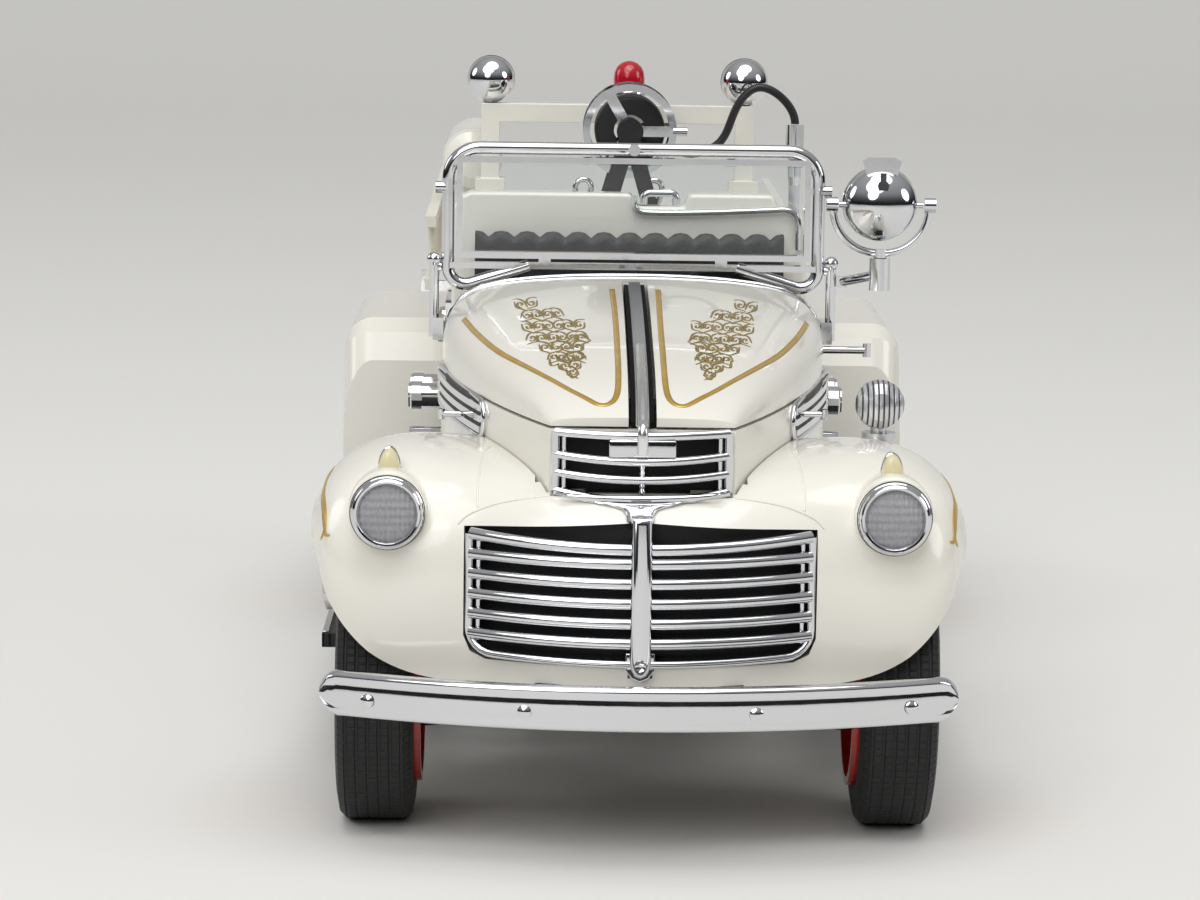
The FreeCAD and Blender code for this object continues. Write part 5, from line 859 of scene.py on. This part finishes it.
keep("bumper_bar", bar, chrome, "body", 60, ("front_bumper",), "chrome")
bumper_surface = surface("front_bumper")
bolt_head = [(0.95, 0.0), (0.9, 0.28), (0.6, 0.5), (0, 0.58)]
for index, bolt_x in enumerate((-35.5, -15.0, 15.0, 35.5)):
    from_front = Vector((bolt_x * MM, bumper_low.y - 5 * MM, bumper_low.z + 2.5 * MM))
    seat, seat_way = bumper_surface.ray_cast(from_front, Vector((0, 1, 0)))[:2]
    if seat:
        lathe(f"bumper_bolt_{index}", bolt_head, seat, seat_way, steps=24)

# Headlamps. A plated ring holds a fluted clear lens over a silvered bowl with a small bulb, all
# turned, in front of a painted fairing that tapers back into the fender.
rims_low, rims_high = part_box("headlamp_rims")
lamp_radius = (rims_high.z - rims_low.z) / 2 / MM
lamp_x = rims_high.x - lamp_radius * MM
lamp_front = rims_low.y + 0.4 * MM
lamp_z = (rims_low.z + rims_high.z) / 2
fluted = finish("fluted_lens", "d6d6da", 0.12, IOR=1.2, Transmission_Weight=0.55)
upright_flutes = node(fluted, "TexWave", {"bands_direction": "X", "Scale": 0.5}, Vector=place_of(fluted))
level_flutes = node(fluted, "TexWave", {"bands_direction": "Z", "Scale": 0.3}, Vector=place_of(fluted))
both_flutes = node(fluted, "Math", {"operation": "ADD"}, n0=upright_flutes.outputs["Fac"],
                   n1=level_flutes.outputs["Fac"])
relief(fluted, both_flutes, 0.12)
silvered = finish("silvered_bowl", "c9c9cd", 0.35, Metallic=0.55)
roughen(silvered, 0.25, 0.4, 0.5)


def shares_of(radius, outline):
    """An outline whose radii are given as shares of one radius."""
    return [(radius * share, along) for share, along in outline]


ring = shares_of(lamp_radius, [
    (1, 3.0), (1, 0.6), (0.985, 0.3), (0.96, 0.2), (0.955, -0.05), (0.92, -0.35), (0.875, -0.5), (0.82, -0.45),
    (0.77, -0.2), (0.75, 0.1), (0.745, 0.9)])
bowl = shares_of(lamp_radius, [(0.76, 0.4), (0.68, 0.75), (0.54, 1.1), (0.36, 1.35), (0.18, 1.5), (0, 1.55)])
bulb = [(0, 0.55), (0.6, 0.65), (0.9, 1.0), (0.85, 1.4), (0.7, 1.8)]
lens = shares_of(lamp_radius, [
    (0, -0.62), (0.25, -0.58), (0.5, -0.42), (0.66, -0.2), (0.76, 0.05), (0.76, 0.35), (0.66, 0.12), (0.5, -0.1),
    (0.25, -0.25), (0, -0.29)])
fairing = shares_of(lamp_radius, [
    (0.85, 1.6), (1.03, 1.9), (1.07, 3.2), (1.06, 6.0), (1, 10.0), (0.88, 14.0), (0.68, 18.5), (0.4, 22.0),
    (0, 24.0)])
for side_name, side in sides:
    centre = Vector((lamp_x * side, lamp_front, lamp_z))
    lathe(f"lamp_ring_{side_name}", ring, centre, replaces=("headlamp_rims",) if side > 0 else ())
    lathe(f"lamp_bowl_{side_name}", bowl, centre, material=silvered)
    lathe(f"lamp_bulb_{side_name}", bulb, centre, material=silvered, steps=32)
    lathe(f"lamp_lens_{side_name}", lens, centre, material=fluted, slot="clear_lens",
          replaces=("headlamp_lenses",) if side > 0 else ())
    lathe(f"lamp_fairing_{side_name}", fairing, centre + Vector((0, 0, 0.2 * MM)), material=ivory,
          slot="ivory_paint", corner=80)

# Parking lamps. A cream plastic cap faces forwards out of a plated teardrop that tapers back on the
# fairing; both are higher above their middle than below it.
cream_lens = finish("cream_bullet", "e4dcb4", 0.25, Coat_Weight=0.4)
mottle(cream_lens, "e7dfb8", "ddd3a6", 0.4)
dress("cream_lens", cream_lens)
park_low, park_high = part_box("parking_lamps")
park_radius = (park_high.z - park_low.z) / 2 / MM
park_length = (park_high.y - park_low.y) / MM
rise_above = 1.95
fall_below = 0.5
cap = shares_of(park_radius, [(0, 0.02), (0.76, 0.12), (1.03, 0.4), (1.13, 0.95), (1.15, park_length * 0.32)])
tail = shares_of(park_radius, [(across, park_length * along) for across, along in (
    (1.03, 0.28), (1.21, 0.30), (1.22, 0.40), (0.9, 0.62), (0.5, 0.86), (0, 0.99))])
for side_name, side in sides:
    centre = Vector(((park_high.x - park_radius * MM) * side, park_low.y, park_low.z + 0.55 * MM))
    cap_piece = lathe(f"parking_cap_{side_name}", cap, centre, material=cream_lens, slot="cream_lens",
                      steps=40, replaces=("parking_lamps",) if side > 0 else ())
    tail_piece = lathe(f"parking_tail_{side_name}", tail, centre, steps=40)
    for made in (cap_piece, tail_piece):
        for vertex in made.data.vertices:
            above = vertex.co.z - centre.z
            vertex.co.z = centre.z + above * (rise_above if above > 0 else fall_below)

# Siren. A plated bullet, cast on a flared foot, whose front is slotted from top to bottom; the slots are
# coloured darker than the plating as painted shade.
slot_pitch = 0.72
slotted_length = 4.2
slotted_height = 6.6
siren_low, siren_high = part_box("siren")
siren_plate = finish("slotted_chrome", "e6e7ea", 0.3, Metallic=0.85)
siren_parts = node(siren_plate, "SeparateXYZ", Vector=place_of(siren_plate))
slot_turns = node(siren_plate, "Math", {"operation": "MULTIPLY", 1: math.tau / slot_pitch},
                  n0=siren_parts.outputs["X"])
slots = node(siren_plate, "Math", {"operation": "SINE"}, n0=slot_turns)
cut_slots = node(siren_plate, "MapRange", {"From Min": -0.85, "From Max": -0.3}, Value=slots)
in_front = node(siren_plate, "Math", {"operation": "LESS_THAN", 1: siren_low.y / MM + slotted_length},
                n0=siren_parts.outputs["Y"])
above_foot = node(siren_plate, "Math", {"operation": "GREATER_THAN", 1: siren_high.z / MM - slotted_height},
                  n0=siren_parts.outputs["Z"])
slotted = node(siren_plate, "Math", {"operation": "MULTIPLY"}, n0=in_front, n1=above_foot)
proud = node(siren_plate, "Mix", {"data_type": "FLOAT", 2: 1.0}, n0=slotted, n3=cut_slots)
# The slots get a darker grey than the plating: painted shade in the slot recesses.
slot_painted_shade = node(siren_plate, "Mix", {"data_type": "RGBA", 6: "4a4b50", 7: "dcdde0"}, n0=proud)
relief(siren_plate, proud, 0.12)
feed(siren_plate, "Base Color", slot_painted_shade.outputs[2])
frame["nodes"]["siren"].material_slots[0].material = siren_plate

# Windshield and cowl. Clear panes stand in the plated frame, and a bright half-round bead covers the
# cowl's rear edge under it.
clear = finish("clear_pane", "f4f8f8", 0.02, IOR=1.45, Transmission_Weight=1.0)
dress("clear_glass", clear)
dress("clear_lens", clear)
cowl_surface = surface("cowl_shell")
bead_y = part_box("cowl_shell")[1].y - 0.5 * MM
cowl_middle = Vector((0, bead_y, 57 * MM))
bead_line = []
for step in range(25):
    angle = math.pi * (0.03 + 0.94 * step / 24)
    from_out = cowl_middle + Vector((math.cos(angle) * 45, 0, math.sin(angle) * 30)) * MM
    hit = cowl_surface.ray_cast(from_out, (cowl_middle - from_out).normalized())[0]
    if hit:
        bead_line.append(hit)
rods("cowl_bead", [(bead_line, 0.42)], corner=35)

# Hood side trim. A bright frame runs round the louvres on each side of the bay, over a dark field,
# with a short latch rod below it and one bracket by the windshield's foot.
trim_low, trim_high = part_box("side_louvres")
trim_middle = (trim_low.z + trim_high.z) / 2
trim_half = (trim_high.z - trim_low.z) / 2 + 0.7 * MM
straight_front = trim_low.y + trim_half * 0.6
straight_rear = trim_high.y - trim_half * 0.6
straight = straight_rear - straight_front
trim_line = [(straight_front, trim_middle - trim_half)]
for begin, end, way in ((straight_front, straight_rear, -1), (straight_rear, straight_front, 1)):
    trim_line += [(begin + (end - begin) * step / 24, trim_middle + way * trim_half) for step in range(1, 25)]
    for angle in (math.pi * (way / 2 + step / 8) for step in range(1, 9)):
        trim_line.append((end + math.cos(angle) * trim_half, trim_middle + math.sin(angle) * trim_half))
field_line = [(straight_front + straight * step / 20, trim_middle) for step in range(21)]


def on_bay(side, line):
    """The places on one side of the bay that a line of depths and heights meets."""
    inwards = Vector((-side, 0, 0))
    places = [cowl_surface.ray_cast(Vector((side * 60 * MM, y, z)), inwards)[0] for y, z in line]
    return [place for place in places if place]


latch_pixel = {"left": 800, "right": 465}
for side_name, side in sides:
    proud_of_bay = Vector((side * 0.25 * MM, 0, 0))
    rods(f"louvre_frame_{side_name}", [([place + proud_of_bay for place in on_bay(side, trim_line)], 0.42)])
    field = bmesh.new()
    lay_strip(field, cowl_surface, on_bay(side, field_line), lambda share: trim_half * 1.9)
    bmesh.ops.recalc_face_normals(field, faces=field.faces)
    keep(f"louvre_field_{side_name}", field, satin_black, "body", slot="black_paint")
    latch_foot = seen_at(cowl_surface, latch_pixel[side_name], 414)
    latch_tip = latch_foot + Vector((side * 3.3 * MM, 0, 0))
    half_grip = Vector((0, 0, 0.7 * MM))
    rods(f"hood_latch_{side_name}", [([latch_foot, latch_tip], 0.42),
                                     ([latch_tip - half_grip, latch_tip + half_grip], 0.5)], corner=50)
bracket_foot = Vector((27.6 * MM, front_edge + 95 * MM, 58.4 * MM))
bracket_end = bracket_foot + Vector((7.4 * MM, 0, 0))
half_head = Vector((0, 0, 1.0 * MM))
rods("cowl_bracket", [([bracket_foot, bracket_end], 0.55),
                      ([bracket_end - half_head, bracket_end + half_head], 0.6)], corner=50)

# Seats. A bench cushion and a backrest in grey-black leathercloth, sewn in upright channels that
# puff out between the seams, with rounded edges.
leather = finish("grey_black_leather", "222225", 0.48)
mottle(leather, "26262a", "1c1c1f", 0.25)
creases = node(leather, "TexVoronoi", {"Scale": 1.9}, Vector=place_of(leather))
relief(leather, creases, 0.05)
dress("black_leather", leather)


def channelled_pad(solid_name, face_axis, channels):
    """A padded piece in its solid's place, with channels across its face."""
    low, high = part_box(solid_name)
    middle = (low + high) / 2
    half = (high - low) / 2
    shape = bmesh.new()
    bmesh.ops.create_cube(shape, size=2.0)
    bmesh.ops.subdivide_edges(shape, edges=shape.edges, cuts=47, use_grid_fill=True)
    up_axis = 2 if face_axis == 1 else 1
    for vertex in shape.verts:
        u, v, w = vertex.co[0], vertex.co[up_axis], vertex.co[face_axis]
        channel_puff = abs(math.cos(math.pi * channels * (u + 1) / 2)) ** 0.55
        edge_fall = (1 - abs(u) ** 10) ** 0.35 * (1 - abs(v) ** 8) ** 0.35
        puff = 0.62 + edge_fall * (0.20 + 0.18 * (1 - channel_puff * 0.9))
        waist = 1 - 0.035 * (1 - abs(w) ** 2)
        top_puff = 0.06 * (1 - channel_puff) if v > 0 else 0.0
        vertex.co[0] = u * (1 - 0.02 * abs(w) ** 4) * waist
        vertex.co[up_axis] = v * (1 - 0.05 * abs(w) ** 4 - top_puff) * waist
        vertex.co[face_axis] = w * puff
        vertex.co = Vector([middle[axis] + vertex.co[axis] * half[axis] for axis in range(3)])
    bmesh.ops.recalc_face_normals(shape, faces=shape.faces)
    pad = keep(f"{solid_name}_dressed", shape, leather, "body", 80, (solid_name,), "black_leather")


channelled_pad("seat_cushion", 2, 14)
channelled_pad("seat_back", 1, 12)


# Searchlight. The bowl is spun from sheet and plated. Its open end looks back over the cab, closed by
# a fluted lens in a rolled ring, and it turns in the yoke on two side pins.
def polished_back(name, centre, radius, depth, start, body="body"):
    """A smooth round back, from its rim to its tip, over a lamp's solid."""
    outline = [(radius * math.cos(angle), start - depth * math.sin(angle))
               for angle in (math.pi / 2 * step / 20 for step in range(21))]
    return lathe(name, outline, centre, body=body, corner=80)


search_low, search_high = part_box("searchlight_lamp")
search_x = (search_low.x + search_high.x) / 2
search_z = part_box("searchlight_yoke")[1].z - 1.1 * MM
search_radius = 5.3
search_rear = Vector((search_x, search_high.y, search_z))
search_ring = shares_of(search_radius, [
    (1, -0.9), (1.04, -0.7), (1.05, -0.3), (1.02, 0.0), (0.95, 0.05), (0.92, -0.2)])
search_lens = shares_of(search_radius, [(0, 0.0), (0.5, -0.1), (0.93, -0.35)])
lathe("searchlight_ring", search_ring, search_rear, body="searchlight_lamp")
lathe("searchlight_lens", search_lens, search_rear, material=fluted, slot="clear_lens",
      body="searchlight_lamp")
search_middle = Vector((search_x, (search_low.y + search_high.y) / 2, search_z))
search_back = polished_back("searchlight_back", search_middle, 5.42, 4.1, 0.6, "searchlight_lamp").data

# A keyhole is pressed into its back, where the bulb holder is reached; it is drawn as a matt black strip on the
# back, whose black is painted shade of the recess.
search_surface = BVHTree.FromPolygons([vertex.co for vertex in search_back.vertices],
                                      [face.vertices for face in search_back.polygons])
keyhole = bmesh.new()
keyhole_line = through(seen_line(search_surface, [(883.5, down) for down in (174, 178, 182, 186, 190.5)]), 4)
lay_strip(keyhole, search_surface, keyhole_line,
          lambda share: (0.9 if share < 0.55 else 1.7 - 1.6 * abs(share - 0.75)) * MM, 0.16 * MM)
bmesh.ops.recalc_face_normals(keyhole, faces=keyhole.faces)
# The strip's matt black is painted shade inside the keyhole.
keep("searchlight_keyhole", keyhole, matt_black, "searchlight_lamp", slot="black_plastic")

# Booster pipe. A plated pipe carries water from the pump up to the reel's hub; it lies along the
# front of the bulkhead and turns down near its left end.
pipe_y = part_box("bulkhead")[0].y - 0.65 * MM
pipe_seen = [(634, 196), (634.5, 206), (640, 211.5), (655, 213), (690, 213), (730, 212), (770, 210.5),
             (785, 210), (795, 214), (798, 223), (798, 236), (798, 250)]
rods("booster_pipe", [(through([at_depth(*pixel, pipe_y) for pixel in pipe_seen], 5), 0.5)])

# Reel clips. Two plated loops on black feet stand on the hose body in front of the reel, one on
# each side, and hold its crank and the hose's end on the road.
clip_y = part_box("hose_reel")[0].y - 0.8 * MM
clip_half = 1.55
clip_tall = 1.75
clip_z = 78.3
for index, clip_x in enumerate((-7.3, 3.9)):
    loop_line = []
    for angle in (math.tau * step / 24 for step in range(25)):
        height = clip_tall * (1.0 if math.sin(angle) > 0 else 1.35) * math.sin(angle)
        beside = clip_half * math.cos(angle) * (1 - 0.22 * (1 - math.sin(angle)))
        loop_line.append(Vector(((clip_x + beside) * MM, clip_y, (clip_z + height) * MM)))
    rods(f"reel_clip_{index}", [(loop_line, 0.45)])
    clip_foot = [Vector((clip_x * MM, clip_y, (clip_z - 2.1) * MM)),
                 Vector((clip_x * MM, clip_y, body_high.z + 0.1 * MM))]
    rods(f"reel_clip_foot_{index}", [(clip_foot, 0.8)], matt_black, 50, "black_plastic")

# Hose coil. A smooth black rubber hose lies on the drum in even turns, side by side.
hose_black = finish("hose_black", "19191a", 0.38)
roughen(hose_black, 0.32, 0.45, 0.6)
dress("hose_rubber", hose_black)
coil_low, coil_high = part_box("hose_coil")
coil_radius = (coil_high.z - coil_low.z) / 2 / MM
coil_length = (coil_high.y - coil_low.y) / MM
coil_turns = 5
hose_half = coil_length / coil_turns / 2
coil_outline = [(coil_radius * 0.45, 0.0)]
for index in range(coil_turns):
    for angle in (math.pi * step / 6 for step in range(7)):
        coil_outline.append((coil_radius - hose_half + math.sin(angle) * hose_half,
                             hose_half * (2 * index + 1 - math.cos(angle))))
coil_outline.append((coil_radius * 0.45, coil_length))
coil_place = Vector(((coil_low.x + coil_high.x) / 2, coil_low.y, (coil_low.z + coil_high.z) / 2))
lathe("hose_coil_dressed", coil_outline, coil_place, material=hose_black, slot="hose_rubber", corner=60,
      replaces=("hose_coil",))

# Work lamps. Two round plated lamps look back over the hose bed from the tops of the gantry's posts,
# each closed by a fluted lens in a rolled ring.
work_low, work_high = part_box("work_lamps")
work_radius = 3.7
work_ring = shares_of(work_radius, [(1.03, 1.9), (1.03, 2.6), (0.96, 2.8), (0.86, 2.65)])
work_lens = shares_of(work_radius, [(0.88, 2.62), (0.5, 2.74), (0, 2.8)])
for side_name, work_x in (("left", work_high.x - work_radius * MM), ("right", work_low.x + work_radius * MM)):
    work_middle = Vector((work_x, (work_low.y + work_high.y) / 2, work_high.z - work_radius * MM))
    polished_back(f"work_back_{side_name}", work_middle, work_radius * 1.02, 3.6, 0.8)
    lathe(f"work_ring_{side_name}", work_ring, work_middle)
    lathe(f"work_lens_{side_name}", work_lens, work_middle, material=fluted, slot="clear_lens")

# Beacon. A smooth dome of clear red plastic, turned, on a plated ring; the tail lamps have the same
# plastic.
red_lens = finish("red_dome", "c4142a", 0.14, IOR=1.45, Coat_Weight=0.6, Transmission_Weight=0.2)
mottle(red_lens, "cb1830", "b81023", 0.3)
dress("red_lens", red_lens)
dome_low, dome_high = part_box("beacon_dome")
dome_place = Vector((0, (dome_low.y + dome_high.y) / 2, dome_low.z))
dome = [(2.5, 0.0), (2.5, 2.6), (2.36, 3.6), (1.98, 4.4), (1.35, 5.0), (0.6, 5.32), (0, 5.38)]
dome_ring = [(2.4, -0.2), (2.72, -0.1), (2.75, 0.35), (2.6, 0.6), (2.45, 0.62)]
lathe("beacon_dome_dressed", dome, dome_place, (0, 0, 1), red_lens, "red_lens", corner=60,
      replaces=("beacon_dome",))
lathe("beacon_ring", dome_ring, dome_place, (0, 0, 1), steps=40)

# Ladder. Cast in one and sprayed a plainer, creamier white than the body.
ladder_white = finish("ladder_white", "e9e6da", 0.34)
mottle(ladder_white, "ebe8dd", "e2dfd1", 0.12)
dress("ladder_paint", ladder_white)
softened("ladder", 0.3, ladder_white, "ladder_paint")

# Pump panels. Round gauges with white dials and black needles in plated rims, and knurled plated
# caps on the outlets.
dial_white = finish("gauge_dial", "eeeeea", 0.3)
mottle(dial_white, "f0f0ec", "e6e6e0", 0.5)
fittings_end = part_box("pump_fittings")[1].x
panel_low, panel_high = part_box("pump_panels")
panel_middle = (panel_low.y + panel_high.y) / 2
panel_height = panel_high.z - panel_low.z
outlet_apart = (panel_high.y - panel_low.y) * 0.194
dial = [(0, 0.12), (1.75, 0.12), (1.75, 0.0)]
dial_rim = [(1.75, 0.0), (1.78, 0.35), (2.0, 0.45), (2.2, 0.3), (2.22, 0.0)]
outlet_cap = [(2.0, -2.2), (2.35, -2.1), (2.35, -0.5), (2.1, -0.25), (1.2, -0.2), (1.0, 0.0), (0, 0.0)]
for side_name, side in sides:
    for index, way in enumerate((-1, 1)):
        gauge_y = panel_middle + way * outlet_apart
        gauge_place = Vector((side * (panel_high.x + 1.0 * MM), gauge_y, panel_low.z + panel_height * 0.84))
        lathe(f"gauge_dial_{side_name}_{index}", dial, gauge_place, (side, 0, 0), dial_white, "ivory_paint", 32)
        lathe(f"gauge_rim_{side_name}_{index}", dial_rim, gauge_place, (side, 0, 0), steps=32)
        needle = bmesh.new()
        add_block(needle, gauge_place + Vector((side * 0.25, 0, 0.5)) * MM, (0.1, 0.18, 1.5),
                  Matrix.Rotation(0.6 * way, 4, "X"))
        keep(f"gauge_needle_{side_name}_{index}", needle, matt_black, "body", slot="black_plastic")
        cap_place = Vector((side * fittings_end, gauge_y, panel_low.z + panel_height * 0.5))
        lathe(f"outlet_cap_{side_name}_{index}", outlet_cap, cap_place, (side, 0, 0), steps=12, corner=20)

# Running boards. Black rubber treads with lengthwise ribs lie on the boards, edged with bright
# plated strips.
board_low, board_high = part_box("running_boards")
ribbed_tread = finish("ribbed_tread", "1b1b1c", 0.6)
mottle(ribbed_tread, "1e1e1f", "161617", 0.3)
rib_wave = node(ribbed_tread, "TexWave", {"bands_direction": "X", "Scale": 0.32},
                Vector=place_of(ribbed_tread))
relief(ribbed_tread, rib_wave.outputs["Fac"], 0.3)
frame["nodes"]["running_boards"].material_slots[0].material = ribbed_tread
for side_name, side in sides:
    strip = bmesh.new()
    strip_place = (side * (board_high.x - 0.5 * MM), (board_low.y + board_high.y) / 2, board_high.z + 0.12 * MM)
    add_block(strip, strip_place, (0.9, (board_high.y - board_low.y) / MM - 1, 0.3))
    round_edges(strip, strip.edges, 0.1 * MM, 2)
    keep(f"board_edge_{side_name}", strip, chrome, "body", slot="chrome")
